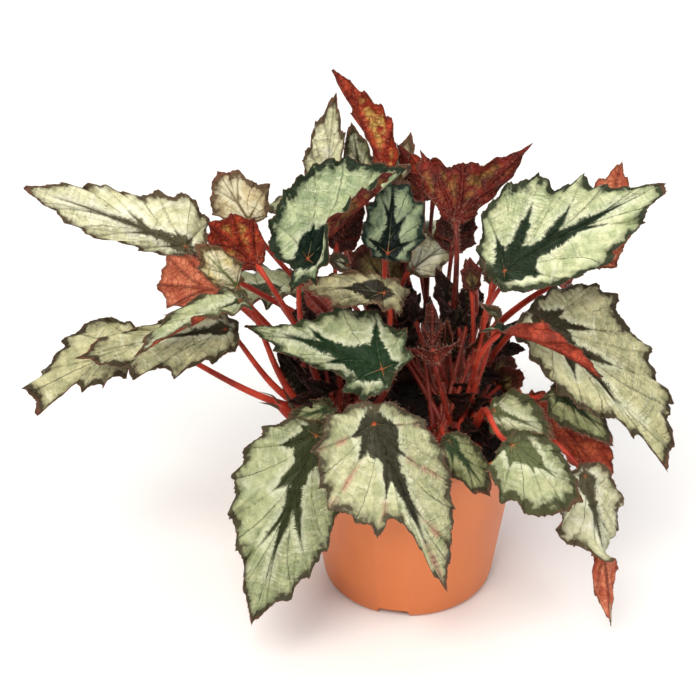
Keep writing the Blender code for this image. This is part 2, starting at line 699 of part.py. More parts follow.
def make_blade(leaf, collection, finish):
    """A blade: a grid wrapped round the junction, split into triangles and thickened."""
    length = (Vector(leaf.tip) - Vector(leaf.junction)).length
    rings = SMALL_RINGS if length < SMALL_LEAF else RINGS
    edge = blade_edge(leaf)
    columns, rows = len(edge) - 1, len(rings) - 1
    shape = bmesh.new()
    bmesh.ops.create_grid(shape, x_segments=columns, y_segments=rows, size=1)
    for vertex in shape.verts:
        along, side = edge[round((vertex.co.x + 1) / 2 * columns)]
        reach = rings[round((vertex.co.y + 1) / 2 * rows)]
        vertex.co = blade_point(leaf, along * reach, side * reach, reach)
    bmesh.ops.remove_doubles(shape, verts=shape.verts, dist=1e-6)
    bmesh.ops.triangulate(shape, faces=shape.faces)
    shape.transform(blade_frame(leaf))
    bmesh.ops.recalc_face_normals(shape, faces=shape.faces)
    mesh = bpy.data.meshes.new(leaf.name)
    shape.to_mesh(mesh)
    shape.free()
    made = add_object(leaf.name, mesh, collection, finish)
    thicken = made.modifiers.new("Thicken", "SOLIDIFY")
    thicken.thickness = BLADE_THICKNESS
    thicken.offset = 0
    return made


def clear_scene():
    for obj in list(bpy.data.objects):
        bpy.data.objects.remove(obj)


def main():
    clear_scene()
    scene = bpy.context.scene.collection
    plant = bpy.data.collections.new("potted_rex_begonia")
    cutters = bpy.data.collections.new("cutters")
    scene.children.link(plant)
    scene.children.link(cutters)
    make_pot(plant, cutters)
    beds = [rhizome_body(rhizome, BED_CLEARANCE, cutters) for rhizome in RHIZOMES]
    for bed in beds:
        hide(bed)
    make_soil(plant, beds)
    red = material("red_stalk", (0.36, 0.05, 0.03), 0.5)
    finishes = {name: material(name, colour, 0.5) for name, colour in LEAF_COLOURS.items()}
    for rhizome in RHIZOMES:
        make_rhizome(rhizome, plant, red)
    for each in LEAVES:
        make_blade(each, plant, finishes[each.finish])


main()
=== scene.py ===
# %% [markdown]
# # A potted rex begonia
#
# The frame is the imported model: a nursery pot, its soil, three bunches of leaf stalks and
# 37 plain leaf blades, each in its place. This lesson keeps every piece where it is and
# gives it the fine shape and the surface that the real plant has. The frame's own box is
# measured first, so that the finished plant can be compared with it at the end.

# %% Load the frame
import math
import random
from collections import namedtuple

import bmesh
import bpy
import numpy as np
from mathutils import Matrix, Vector
from mathutils.geometry import interpolate_bezier


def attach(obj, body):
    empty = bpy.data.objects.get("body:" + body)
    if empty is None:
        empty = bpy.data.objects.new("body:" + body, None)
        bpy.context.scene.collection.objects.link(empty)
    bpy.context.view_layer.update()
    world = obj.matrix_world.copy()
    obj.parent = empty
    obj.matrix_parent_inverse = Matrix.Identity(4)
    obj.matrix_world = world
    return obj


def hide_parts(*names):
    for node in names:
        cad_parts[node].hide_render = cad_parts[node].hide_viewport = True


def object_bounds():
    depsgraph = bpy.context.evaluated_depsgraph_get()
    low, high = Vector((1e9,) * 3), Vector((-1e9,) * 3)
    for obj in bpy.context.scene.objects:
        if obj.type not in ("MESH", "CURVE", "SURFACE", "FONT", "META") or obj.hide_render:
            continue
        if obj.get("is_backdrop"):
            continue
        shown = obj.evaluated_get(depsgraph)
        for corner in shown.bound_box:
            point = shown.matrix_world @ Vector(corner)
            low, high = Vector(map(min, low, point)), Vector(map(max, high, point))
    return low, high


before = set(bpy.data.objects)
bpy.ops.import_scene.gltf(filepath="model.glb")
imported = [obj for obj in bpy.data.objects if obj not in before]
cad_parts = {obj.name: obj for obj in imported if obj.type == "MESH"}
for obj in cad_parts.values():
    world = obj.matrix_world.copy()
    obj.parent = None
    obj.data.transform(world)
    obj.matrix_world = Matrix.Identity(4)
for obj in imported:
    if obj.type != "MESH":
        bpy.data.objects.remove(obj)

MM = 0.001
cad_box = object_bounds()
print("nodes", len(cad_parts), "box", [[round(c, 4) for c in corner] for corner in cad_box])

# %% [markdown]
# ## Colours and nodes
#
# Colours are written as the hex values that a screen shows, and one function turns them to
# the linear values that the renderer adds up. One more function adds a shader node with
# its settings and its links, so that a material reads from top to bottom. Its inputs are
# either plain values or the sockets of nodes made before.


# %% Colour and node helpers
def linear(colour):
    """The linear colour of a hex value such as #A0B0C0."""
    parts = [int(colour[place : place + 2], 16) / 255 for place in (1, 3, 5)]
    return (*(p / 12.92 if p <= 0.04045 else ((p + 0.055) / 1.055) ** 2.4 for p in parts), 1)


def plug(tree, node, **inputs):
    """Sets a node's inputs, each named for its socket, with _ for a space or _3 for the fourth."""
    for name, value in inputs.items():
        number = name.lstrip("_")
        socket = node.inputs[int(number) if number.isdigit() else name.replace("_", " ")]
        if isinstance(value, bpy.types.NodeSocket):
            tree.links.new(value, socket)
        else:
            socket.default_value = value


def add(tree, kind, settings=None, **inputs):
    """Adds a shader node with its settings and its inputs, and returns its outputs."""
    made = tree.nodes.new("ShaderNode" + kind)
    for name, value in (settings or {}).items():
        setattr(made, name, value)
    plug(tree, made, **inputs)
    return made.outputs


def new_material(name):
    """A material with one glossy shader, returned with its node tree and that shader."""
    made = bpy.data.materials.new(name)
    made.use_nodes = True
    return made, made.node_tree, made.node_tree.nodes["Principled BSDF"]


print("sage as linear", [round(c, 3) for c in linear("#BAC29A")])

# %% [markdown]
# ## Masks, coats and relief
#
# Every finish here is painted in coats, as on a model: a first colour, then one coat after
# another, each through its own mask. A mask fades from 0 to 1 as some value goes from one
# limit to another, such as a noise, or the distance to the leaf's margin. Two or three
# fades multiplied give a mask that needs all of them. Relief is laid on in the same way,
# one height after another, each with a real depth in millimetres.

# %% Masks, coats and relief
SMOOTH = {"interpolation_type": "SMOOTHSTEP"}


def mask(tree, *fades):
    """The product of fades. Each is a value, its start and end, and its shares there if not 0 and 1."""
    product = None
    for value, start, end, *ends in fades:
        low, high = ends or (0, 1)
        share = add(tree, "MapRange", SMOOTH, _0=value, _1=start, _2=end, _3=low, _4=high)[0]
        if product:
            share = add(tree, "Math", {"operation": "MULTIPLY"}, _0=product, _1=share)[0]
        product = share
    return product


def painted(tree, first, *coats):
    """A first colour under coats. A coat is its colour and then the fades of its mask."""
    colour = linear(first)
    for coat, *fades in coats:
        over = linear(coat) if isinstance(coat, str) else coat
        share = mask(tree, *fades)
        colour = add(tree, "Mix", {"data_type": "RGBA"}, _0=share, _6=colour, _7=over)[2]
    return colour


def embossed(tree, *reliefs):
    """The surface's direction after one relief upon another, each a height and its depth in mm."""
    under = {}
    for height, depth in reliefs:
        under["Normal"] = add(tree, "Bump", None, Height=height, Distance=depth * MM, **under)[0]
    return under["Normal"]


def pushed(tree, value, *pushes):
    """A value moved by patterns, each times its own strength."""
    for pattern, strength in pushes:
        value = add(tree, "Math", {"operation": "MULTIPLY_ADD"}, _0=pattern, _1=strength, _2=value)[0]
    return value


def vein_net(tree, flat, bend_size, bend, cell):
    """Distance to a net of small veins with cells of a size in mm, bent by a slow noise."""
    noise = add(tree, "TexNoise", None, Vector=flat, Scale=1 / bend_size)[1]
    settings = {"operation": "MULTIPLY_ADD"}
    bent = add(tree, "VectorMath", settings, _0=noise, _1=(bend, bend, bend), _2=flat)[0]
    return add(tree, "TexVoronoi", {"feature": "DISTANCE_TO_EDGE"}, Vector=bent, Scale=1 / cell)[0]


print("shader helpers ready")

# %% [markdown]
# ## Leaf skin
#
# The upper skin of a rex begonia is a silver film: tiny air blisters under the skin scatter
# the light, which gives a pale, pearly sage. Round the junction the blisters are missing,
# and a dark green star shows, with a feathered finger along each main vein. The margin
# is dark too, for a few millimetres. The surface is quilted by a net of small veins. All
# this is drawn from numbers that each blade's mesh keeps: how deep a point lies in the
# star, its distance to the margin and to the nearest main vein, and how far out along that
# vein it is, all in millimetres.


# %% Upper leaf skin
def upper_skin(name, silver, pale, star, margin, wide=3.6, vein="#6F7A52", glint="#DEDFC4",
               rim="#6A4232", stained=0.0, dot=0.35):
    """wide is the margin's usual width in mm, stained and dot are shares of pink and orange, and glint
    is the pale colour of the painted highlights and of the star's fringe.
    """
    material, tree, shader = new_material(name)
    flat = add(tree, "Attribute", {"attribute_name": "flat_mm"})["Vector"]
    edge, main, run, core = (
        add(tree, "Attribute", {"attribute_name": each})["Fac"]
        for each in ("rim_mm", "vein_mm", "run_mm", "star_mm")
    )
    # Noises with patches of these sizes in mm, finer ones with more detail.
    cloud, blotch, dimple, grain = (
        add(tree, "TexNoise", None, Vector=flat, Scale=1 / size, Detail=detail)[0]
        for size, detail in ((9, 2), (5.5, 3), (2.6, 2), (0.8, 3))
    )
    net = vein_net(tree, flat, 5, 4, 4)
    # Strokes leave a main vein sideways. Fine ones, about 1 mm apart, feather the star's rim, and
    # rills, shallow folds that run the same way 2 to 3 mm apart, are bumped into the surface, with
    # painted highlights on their crests and painted shade in their troughs.
    place = add(tree, "CombineXYZ", None, X=run, Y=main)[0]
    strokes = add(tree, "VectorMath", {"operation": "MULTIPLY"}, _0=place, _1=(0.8, 0.12, 0))[0]
    feather, rill = (
        add(tree, "TexNoise", None, Vector=strokes, Scale=1 / size, Roughness=rough)[0]
        for size, rough in ((1, 0.6), (2.2, 0.55))
    )
    # Close to a main vein the rim hardly wanders, so a finger narrows to a thin unbroken line.
    wander = pushed(tree, -4.5, (feather, 5.5), (cloud, 3.5))
    depth = pushed(tree, core, (wander, mask(tree, (main, 0.2, 2.4, 0.12, 1))))
    reach = pushed(tree, edge, (blotch, -14), (feather, -2.5))
    middle = add(tree, "VectorMath", {"operation": "LENGTH"}, _0=flat)[1]
    rib = painted(tree, "#B0714A", ("#7F8768", (middle, 1.5, 6)))

    colour = painted(
        tree, silver,
        (pale, (cloud, 0.36, 0.64)),
        (vein, (net, 0.12, 0, 0, 0.22)),
        # Painted shade darkens the hollows of the dimples and rills, and painted highlights in the
        # glint colour lie on the rills' crests and on specks of the grain.
        (vein, (dimple, 0.5, 0.3, 0, 0.16)),
        (vein, (rill, 0.46, 0.3, 0, 0.22)),
        (glint, (rill, 0.52, 0.7, 0, 0.35)),
        (glint, (grain, 0.54, 0.7, 0, 0.3)),
        # Where the film ends at the star it is painted paler, in the glint colour.
        (glint, (depth, -4, -0.8, 0, 0.4)),
        ("#B06A62", (main, 2.8, 0), (cloud, 0.38, 0.6), (core, 0.5, -3, 0, stained)),
        (star, (main, 0.7, 0), (depth, -14, -1, 0.04, 0.5)),
        (star, (depth, -0.7, 0.6)),
        # Within the star the main veins are fine pale lines, tinged orange near the stalk.
        (rib, (main, 0.5, 0.15), (depth, 1, 4, 0, 0.55)),
        # A darker wash leads up to the margin, which itself has a soft inner edge.
        (margin, (reach, wide - 3, wide - 7.5, 0, 0.4)),
        (margin, (reach, wide - 6.8, wide - 9.4)),
        (rim, (edge, 0.6, 0.15, 0, 0.6)),
        ("#B9552F", (middle, 1.4, 0.6, 0, dot)),
    )
    puffs = mask(tree, (net, 0, 0.35))
    groove = mask(tree, (main, 0, 0.9))
    normal = embossed(tree, (puffs, 0.3), (dimple, 0.7), (rill, 1.8), (grain, 0.15), (groove, 0.4))
    # The star has no blisters, so it is a little glossier than the film.
    rough = mask(tree, (mask(tree, (depth, -0.7, 0.6)), 0, 1, 0.5, 0.4))
    plug(tree, shader, Base_Color=colour, Normal=normal, Roughness=rough, IOR=1.4,
         Specular_IOR_Level=0.2)
    return material


print("upper skin ready")

# %% [markdown]
# ## The leaves' colours
#
# No two leaves of a plant are quite the same colour. Full-grown ones in the light are silver, the ones
# below them sage, old ones beige, and young ones bronze. The olive, shaded and dark skins are darker
# copies, with painted shade for leaves below others and deep inside the plant. Each of these is the
# same skin with its own film, paler film, star and margin.

# %% Upper skins
skins = {
    "silver": upper_skin("silver_green_skin", "#8D946C", "#AAAD82", "#353A20", "#433F2B", 3.2),
    "stained": upper_skin("stained_silver_skin", "#A3A57B", "#BDBB92", "#393728", "#4E4735", 3.0,
                          stained=0.7, dot=0.9),
    "bright": upper_skin("bright_silver_skin", "#A6AF82", "#C9CB9F", "#1E2B1A", "#333926", 3.4),
    "leafy": upper_skin("bright_green_skin", "#87906A", "#A9AE84", "#1D321B", "#2F3823", 3.4),
    "faded": upper_skin("faded_green_skin", "#959B70", "#B0B087", "#5B613E", "#43442B", 5.0),
    "deep": upper_skin("deep_green_skin", "#8C9B73", "#B8C094", "#061A0E", "#202B1A", 4.6),
    "dusky": upper_skin("dusky_green_skin", "#566650", "#84926E", "#010E08", "#14221A", 2.8,
                        glint="#9AA384"),
    "grey": upper_skin("grey_sage_skin", "#9E9E75", "#BDB88D", "#352F1E", "#3E3625", 3.4,
                       vein="#6F654B"),
    "shaded": upper_skin("shaded_grey_skin", "#67644A", "#9A926B", "#241F14", "#4A3A28", 2.0,
                         vein="#4F4633", glint="#B5AE88"),
    "cream": upper_skin("cream_skin", "#BDBC93", "#D6D3AE", "#55503A", "#4F4330", 2.6,
                        vein="#8D8560", glint="#ECECDA"),
    "beige": upper_skin("beige_old_skin", "#AB9B74", "#C8B68D", "#6B5636", "#564430", 2.6,
                        vein="#86704F"),
    "olive": upper_skin("shaded_olive_skin", "#757A4E", "#93976A", "#37462C", "#3B3823", 3.2,
                        vein="#4C5337", glint="#A9AC82", dot=0.0),
    "lime": upper_skin("young_lime_skin", "#CFBA82", "#EAD8AE", "#6B7340", "#5D4A2E", 3.0,
                       vein="#7D8248"),
    "bronze": upper_skin("young_bronze_skin", "#4E3F20", "#665930", "#33291A", "#3E1E14",
                         vein="#33240F", glint="#8C7C4C", rim="#5A2418", dot=0.0),
    # Nearly black, as painted deep shade for the leaves inside the plant.
    "dark": upper_skin("dark_inner_skin", "#1E1811", "#2E2618", "#130F0A", "#1A0D09",
                       vein="#120E09", glint="#3A3222", rim="#2E120C", dot=0.0),
}
print("upper skins", *skins)

# %% [markdown]
# ## Red undersides
#
# Under the leaf the skin holds a red pigment that traps the light which passed through the
# blade. The ribs stand out there as rounded cords, darker than the skin between them, and
# the small veins draw a fine dark net. Where the pigment is thin, yellow-green leaf flesh
# shows through in patches.


# %% Lower leaf skin
def lower_skin(name, red, deep, mesh, mottle="#B79A4E", mottled=0.0):
    """mesh is the colour of the small veins, and mottled the share of flesh that shows through."""
    material, tree, shader = new_material(name)
    flat = add(tree, "Attribute", {"attribute_name": "flat_mm"})["Vector"]
    edge, main = (
        add(tree, "Attribute", {"attribute_name": each})["Fac"] for each in ("edge_mm", "vein_mm")
    )
    cloud, island, grain = (
        add(tree, "TexNoise", None, Vector=flat, Scale=1 / size, Detail=3)[0] for size in (8, 5, 0.9)
    )
    net = vein_net(tree, flat, 6, 3, 3.2)
    colour = painted(
        tree, red,
        (deep, (cloud, 0.35, 0.65)),
        # The flesh shows through between the ribs, away from the margin.
        (mottle, (main, 0.8, 4.5), (edge, 2.5, 9), (island, 0.38, 0.56, 0, mottled)),
        (mesh, (net, 0.12, 0, 0, 0.65)),
        ("#D98C6A", (grain, 0.5, 0.8, 0, 0.2)),
        ("#5E1F16", (main, 1.1, 0.3, 0, 0.55)),
        ("#4A2018", (edge, 2.6, 0.4, 0, 0.6)),
    )
    cords, rib = mask(tree, (net, 0.25, 0)), mask(tree, (main, 1.2, 0.2))
    normal = embossed(tree, (cords, 0.35), (grain, 0.1), (rib, 0.6))
    plug(tree, shader, Base_Color=colour, Normal=normal, Roughness=0.5, IOR=1.4,
         Specular_IOR_Level=0.2)
    return material


undersides = {
    "red": lower_skin("red_underside", "#AB442E", "#7C2A19", "#561A12"),
    "brick": lower_skin("brick_underside", "#B15434", "#863322", "#6B2418"),
    "salmon": lower_skin("salmon_underside", "#D28260", "#B05A41", "#9E4632"),
    "maroon": lower_skin("maroon_underside", "#75231A", "#42110D", "#320B08", mottled=0.25),
    "orange": lower_skin("orange_underside", "#AE3F26", "#701E13", "#5E170F", "#C2A455", 0.75),
    # Nearly black, as painted deep shade for the leaves inside the plant.
    "dark": lower_skin("dark_inner_underside", "#3A140E", "#240C08", "#1A0806"),
}
print("undersides", *undersides)

# %% [markdown]
# ## Stalks, rhizomes and hairs
#
# A begonia stalk is a juicy stem with red sap under a thin, slightly glossy skin, and small pale flecks
# run along it. Its colour is bright coral, and painted shade makes it wine red low down and within the
# bunch, and all the way up on a few stalks deep in the plant. It is covered with soft reddish hairs,
# which are too fine to show at this size and are drawn a little thicker than life. A rhizome has a dull
# brown skin with a trace of green.


# %% Stalk, rhizome and hair skins
def in_place(name, *noises):
    """A new material with noises in the object's own space: patch size in mm, detail, roughness."""
    material, tree, shader = new_material(name)
    place = add(tree, "TexCoord")["Object"]
    inputs = ("Scale", "Detail", "Roughness")
    patterns = [
        add(tree, "TexNoise", None, Vector=place, **dict(zip(inputs, (1 / (size * MM), *others))))[0]
        for size, *others in noises
    ]
    return material, tree, shader, place, *patterns


def stalk_skin(name, bright, deep):
    material, tree, shader, place, cloud = in_place(name, (14, 2, 0.5))
    long_way = add(tree, "Mapping", None, Vector=place, Scale=(1000, 1000, 180))[0]
    flecks = add(tree, "TexNoise", None, Vector=long_way, Scale=1 / 0.9, Detail=3, Roughness=0.6)[0]
    # Painted shade: low down and near the middle of the plant the stalks are darker.
    height = add(tree, "SeparateXYZ", None, Vector=place)[2]
    level = add(tree, "Mapping", None, Vector=place, Location=(0.012, -0.012, 0), Scale=(1, 1, 0))[0]
    middle = add(tree, "VectorMath", {"operation": "LENGTH"}, _0=level)[1]
    colour = painted(
        tree, bright,
        (deep, (cloud, 0.35, 0.65)),
        ("#4A150F", (middle, 0.07, 0.04), (height, 0.19, 0.14, 0, 0.75)),
        ("#C9785A", (flecks, 0.56, 0.74, 0, 0.4)),
    )
    plug(tree, shader, Base_Color=colour, Normal=embossed(tree, (flecks, 0.15)), Roughness=0.42,
         IOR=1.4, Specular_IOR_Level=0.35)
    return material


def rhizome_skin():
    material, tree, shader, _, cloud = in_place("brown_rhizome_skin", (6, 4, 0.6))
    colour = painted(tree, "#35170F", ("#4A3A20", (cloud, 0.35, 0.65)))
    plug(tree, shader, Base_Color=colour, Normal=embossed(tree, (cloud, 0.8)), Roughness=0.7)
    return material


def hair_skin(name, colour, tip):
    """Hairs are short and thin, so their colour only wanders from hair to hair."""
    material, tree, shader, _, cloud = in_place(name, (3, 1, 0.5))
    plug(tree, shader, Base_Color=painted(tree, colour, (tip, (cloud, 0.35, 0.65))), Roughness=0.6,
         Sheen_Weight=0.3)
    return material


stalk_material = stalk_skin("red_stalk_skin", "#B83A25", "#8E2416")
# A darker copy, as painted shade on the stalks deep in the plant.
shaded_stalk_material = stalk_skin("wine_stalk_skin", "#6B2016", "#48140D")
rhizome_material = rhizome_skin()
stalk_hair = hair_skin("reddish_stalk_hair", "#8E3D28", "#C99478")
margin_hair = hair_skin("brown_margin_hair", "#6E3A2C", "#B79A86")
print("materials", len(bpy.data.materials))

# %% [markdown]
# ## Peat and pot plastic
#
# Peat is a dull crumbly fibre, nearly black when moist, with a pale fibre here and there. The
# pot is injection moulded polypropylene in a terracotta colour: satin, even, with a faint
# fine grain from the mould.


# %% Peat and pot plastic
def peat():
    material, tree, shader, _, crumb, fibre = in_place("crumbly_peat", (1.6, 5, 0.65), (0.5, 2, 0.5))
    colour = painted(
        tree, "#0F0A07", ("#261A11", (crumb, 0.35, 0.7)), ("#7A6246", (fibre, 0.66, 0.76, 0, 0.5))
    )
    plug(tree, shader, Base_Color=colour, Normal=embossed(tree, (crumb, 1.2)), Roughness=0.95)
    return material


def pot_plastic():
    material, tree, shader, _, cloud, mould = in_place(
        "terracotta_polypropylene", (30, 2, 0.5), (0.35, 2, 0.5)
    )
    plug(tree, shader, Base_Color=painted(tree, "#CE6E34", ("#D47539", (cloud, 0.3, 0.7))),
         Normal=embossed(tree, (mould, 0.02)), Roughness=mask(tree, (cloud, 0.3, 0.7, 0.42, 0.5)),
         IOR=1.49)
    return material


peat_material, pot_material = peat(), pot_plastic()
print("materials", len(bpy.data.materials))

# %% [markdown]
# ## Sizes of the pot
#
# The pot and the bed of soil are both turned shapes, as on a lathe. Screw turns a profile
# round the axis, with enough steps that the rim looks round. The sizes are the CAD
# model's, so that the dressed pot stands exactly where the plain one stood. Only the
# drainage slots are a little higher here.

# %% Pot sizes and a turning helper
CLEARANCE = 0.35 * MM
POT_HEIGHT = 101 * MM
POT_FOOT_RADIUS = 44 * MM
POT_NECK_RADIUS = 57.4 * MM
POT_NECK_HEIGHT = 96 * MM
POT_RIM_RADIUS = 59.8 * MM
POT_RIM_HEIGHT = 5 * MM
POT_RIM_WALL = 1.6 * MM
POT_WALL = 1.3 * MM
LIP_ROUND = 0.8 * MM
RIM_ROUND = 0.7 * MM
FOOT_ROUND = (2.6 * MM, 3 * MM)
BASE_UNDERSIDE = 2.5 * MM
BASE_TOP = 4 * MM
BASE_FILLET = 2 * MM
CENTRE_PAD_RADIUS = 14 * MM
FOOT_RING_RADIUS = 33 * MM
DRAIN_TURNS = [math.radians(-101) + quarter * math.tau / 4 for quarter in range(4)]
DRAIN_SLOT_WIDTH = 20 * MM
DRAIN_SLOT_HEIGHT = 3.3 * MM
# Outside, each slot continues as a shallow notch in the wall, which the photo shows at the foot.
DRAIN_NOTCH_HEIGHT = 5 * MM
DRAIN_NOTCH_THINNING = 0.27
DRAIN_HOLE_RADIUS = 4 * MM
DRAIN_HOLE_REACH = 23.5 * MM
TURNING_STEPS = 160

dressed = bpy.data.collections.new("dressed_begonia")
bpy.context.scene.collection.children.link(dressed)


def place_piece(name, mesh, materials=()):
    made = bpy.data.objects.new(name, mesh)
    dressed.objects.link(made)
    for each in materials:
        mesh.materials.append(each)
    return made


def settled(obj):
    """The object's mesh with its modifiers applied."""
    graph = bpy.context.evaluated_depsgraph_get()
    graph.update()
    mesh = bpy.data.meshes.new_from_object(obj.evaluated_get(graph))
    obj.modifiers.clear()
    obj.data = mesh
    return mesh


def turned(name, profile, finish):
    """A closed shape turned about Z from a profile of (radius, height), outer side down."""
    mesh = bpy.data.meshes.new(name)
    mesh.from_pydata(
        [(radius, 0, height) for radius, height in profile],
        [(place, place + 1) for place in range(len(profile) - 1)],
        [],
    )
    made = place_piece(name, mesh, [finish])
    screw = made.modifiers.new("Turn", "SCREW")
    screw.steps = screw.render_steps = TURNING_STEPS
    screw.use_merge_vertices = True
    screw.merge_threshold = 0.01 * MM
    screw.use_normal_calculate = True
    settled(made)
    return made


def inner_radius(height):
    """The pot wall's inner radius at a height."""
    share = height / POT_NECK_HEIGHT
    return POT_FOOT_RADIUS + (POT_NECK_RADIUS - POT_FOOT_RADIUS) * share - POT_WALL


print("inner radius at the neck", round(inner_radius(POT_NECK_HEIGHT) / MM, 1), "mm")

# %% [markdown]
# ## Pot
#
# A nursery pot has a thin wall that widens evenly from the foot to the neck, and a thicker
# rim that lets pots stack. Water drains through four slots in the foot ring and four holes
# in the base. Boolean cuts them, because a profile that is turned can't have an opening
# on one side only. The cutters are thrown away afterwards.


# %% Pot
def drain_cutter(turn, kind, reach, radii, depth, sides, spin, thinning):
    """A cone or prism that cuts one drainage opening, standing out from the axis by reach."""
    shape = bmesh.new()
    bmesh.ops.create_cone(
        shape, cap_ends=True, segments=sides, radius1=radii[0], radius2=radii[1], depth=depth,
        matrix=Matrix.Rotation(math.radians(spin), 4, "Z"),
    )
    mesh = bpy.data.meshes.new(kind)
    shape.to_mesh(mesh)
    shape.free()
    made = place_piece(kind, mesh)
    made.rotation_euler.z = turn
    made.scale.x = thinning
    made.location = (math.cos(turn) * reach, math.sin(turn) * reach, 0)
    return made


def pot_profile():
    """From the middle of the base up the inner wall, over the rim and down to the foot ring."""
    rim_base = POT_HEIGHT - POT_RIM_HEIGHT
    lip = POT_RIM_RADIUS - POT_RIM_WALL
    corner = [(math.sin(a), 1 - math.cos(a)) for a in np.linspace(0, math.pi / 2, 6)]
    wide, high = FOOT_ROUND
    return [
        (0, BASE_TOP),
        (inner_radius(BASE_TOP) - BASE_FILLET, BASE_TOP),
        (inner_radius(BASE_TOP + BASE_FILLET), BASE_TOP + BASE_FILLET),
        (inner_radius(rim_base), rim_base),
        (lip - LIP_ROUND, rim_base + 2 * MM),
        (lip, POT_HEIGHT - LIP_ROUND),
        *[(lip + 0.5 * MM * x, POT_HEIGHT - LIP_ROUND * (1 - x)) for x in (0.3, 0.7, 1)],
        *[(POT_RIM_RADIUS - RIM_ROUND * (1 - x), POT_HEIGHT - RIM_ROUND * y) for x, y in corner],
        (POT_RIM_RADIUS - 0.9 * MM, rim_base + 0.3 * MM),
        (POT_RIM_RADIUS - 1.3 * MM, rim_base),
        (POT_NECK_RADIUS + 0.3 * MM, rim_base - 0.2 * MM),
        (POT_NECK_RADIUS, rim_base - 0.8 * MM),
        *[(POT_FOOT_RADIUS - wide * x, high * (1 - x) ** 1.5) for x in (0, 0.2, 0.45, 0.75, 1)],
        (FOOT_RING_RADIUS + 1 * MM, 0),
        (FOOT_RING_RADIUS, BASE_UNDERSIDE),
        (CENTRE_PAD_RADIUS, BASE_UNDERSIDE),
        (CENTRE_PAD_RADIUS, 0),
        (0, 0),
    ]


def make_pot():
    pot = turned("moulded_pot", pot_profile(), pot_material)
    slot = [math.sqrt(2) * (DRAIN_SLOT_WIDTH / 2 - less) for less in (0, BASE_UNDERSIDE)]
    hole = (DRAIN_HOLE_RADIUS, DRAIN_HOLE_RADIUS)
    ring = (POT_FOOT_RADIUS + FOOT_RING_RADIUS) / 2
    wall = POT_FOOT_RADIUS + CLEARANCE
    # Each opening: its kind, how far out it stands, its radii, depth, sides, turn and thinning.
    openings = (
        ("slot", ring, slot, 2 * DRAIN_SLOT_HEIGHT, 4, 45, 1),
        ("notch", wall, slot, 2 * DRAIN_NOTCH_HEIGHT, 4, 45, DRAIN_NOTCH_THINNING),
        ("hole", DRAIN_HOLE_REACH, hole, 4 * BASE_TOP, 32, 0, 1),
    )
    cutters = [drain_cutter(turn, *opening) for turn in DRAIN_TURNS for opening in openings]
    for cutter in cutters:
        cut = pot.modifiers.new("Drain", "BOOLEAN")
        cut.object = cutter
    mesh = settled(pot)
    for cutter in cutters:
        bpy.data.objects.remove(cutter)
    mesh.shade_smooth()
    mesh.set_sharp_from_angle(angle=math.radians(35))
    return pot


pot = make_pot()
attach(pot, "root")
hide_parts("pot")
print("pot faces", len(pot.data.polygons))

# %% [markdown]
# ## Soil
#
# Potting peat is a bed of crumbs. The bed is turned like the pot, with many rings in its
# top, and its top is then roughened with noise at two sizes. Loose crumbs of 1 to 3 mm lie
# on it, half sunk, each a small faceted lump.

# %% Soil
SOIL_EDGE_HEIGHT = 93 * MM
SOIL_HEAP = 4 * MM
SOIL_RINGS = 40
# The top is roughened by waves of many sizes that cross it every way.
SOIL_WAVES = 24
SOIL_WAVE_NUMBERS = (0.2, 1.3)
SOIL_ROUGHNESS = 0.22
SOIL_HIGHEST = 1.2
CRUMBS = 420
CRUMB_RADII = (0.5, 1.6)
CRUMB_UNEVENNESS = 0.3
CRUMB_LIFT = 0.3
CRUMBS_OFF_WALL = 3 * MM


def soil_height(radius):
    """The bed's height: nearly level in the middle, lower towards the pot's wall."""
    full = inner_radius(SOIL_EDGE_HEIGHT)
    heaped = np.interp(radius / full, (0, 0.5, 0.85, 1), (1, 0.8, 0.2, 0))
    return SOIL_EDGE_HEIGHT + SOIL_HEAP * heaped


def make_soil():
    full = inner_radius(SOIL_EDGE_HEIGHT) - CLEARANCE
    top = [(radius, soil_height(radius)) for radius in np.linspace(0, full, SOIL_RINGS)]
    fillet_top = BASE_TOP + BASE_FILLET
    foot = [
        (inner_radius(fillet_top) - CLEARANCE, fillet_top + CLEARANCE / 2),
        (inner_radius(BASE_TOP) - BASE_FILLET - CLEARANCE, BASE_TOP + CLEARANCE),
        (0, BASE_TOP + CLEARANCE),
    ]
    soil = turned("peat_bed", [*top, *foot], peat_material)
    draw = random.Random("peat")
    waves = [
        (draw.uniform(*SOIL_WAVE_NUMBERS), draw.uniform(0, math.tau), draw.uniform(0, math.tau))
        for _ in range(SOIL_WAVES)
    ]
    for vertex in soil.data.vertices:
        x, y, z = vertex.co / MM
        if z > SOIL_EDGE_HEIGHT / MM - 1:
            # The finer a wave is, the lower.
            rough = sum(
                math.sin(k * (x * math.cos(turn) + y * math.sin(turn)) + shift) / (1 + 2 * k)
                for k, turn, shift in waves
            )
            vertex.co.z += min(SOIL_ROUGHNESS * rough, SOIL_HIGHEST) * MM
    return soil


def make_crumbs():
    draw = random.Random("crumbs")
    shape = bmesh.new()
    for _ in range(CRUMBS):
        radius = math.sqrt(draw.random()) * (inner_radius(SOIL_EDGE_HEIGHT) - CRUMBS_OFF_WALL)
        turn, size = draw.uniform(0, math.tau), draw.uniform(*CRUMB_RADII) * MM
        height = soil_height(radius) + size * CRUMB_LIFT
        centre = (math.cos(turn) * radius, math.sin(turn) * radius, height)
        lump = bmesh.ops.create_icosphere(
            shape, subdivisions=1, radius=size, matrix=Matrix.Translation(centre)
        )["verts"]
        for vertex in lump:
            uneven = [draw.uniform(-CRUMB_UNEVENNESS, CRUMB_UNEVENNESS) * size for _ in range(3)]
            vertex.co += Vector(uneven)
    mesh = bpy.data.meshes.new("peat_crumbs")
    shape.to_mesh(mesh)
    shape.free()
    return place_piece("peat_crumbs", mesh, [peat_material])


soil, crumbs = make_soil(), make_crumbs()
for piece in (soil, crumbs):
    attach(piece, "root")
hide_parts("soil")
print("soil faces", len(soil.data.polygons), "crumbs", CRUMBS)
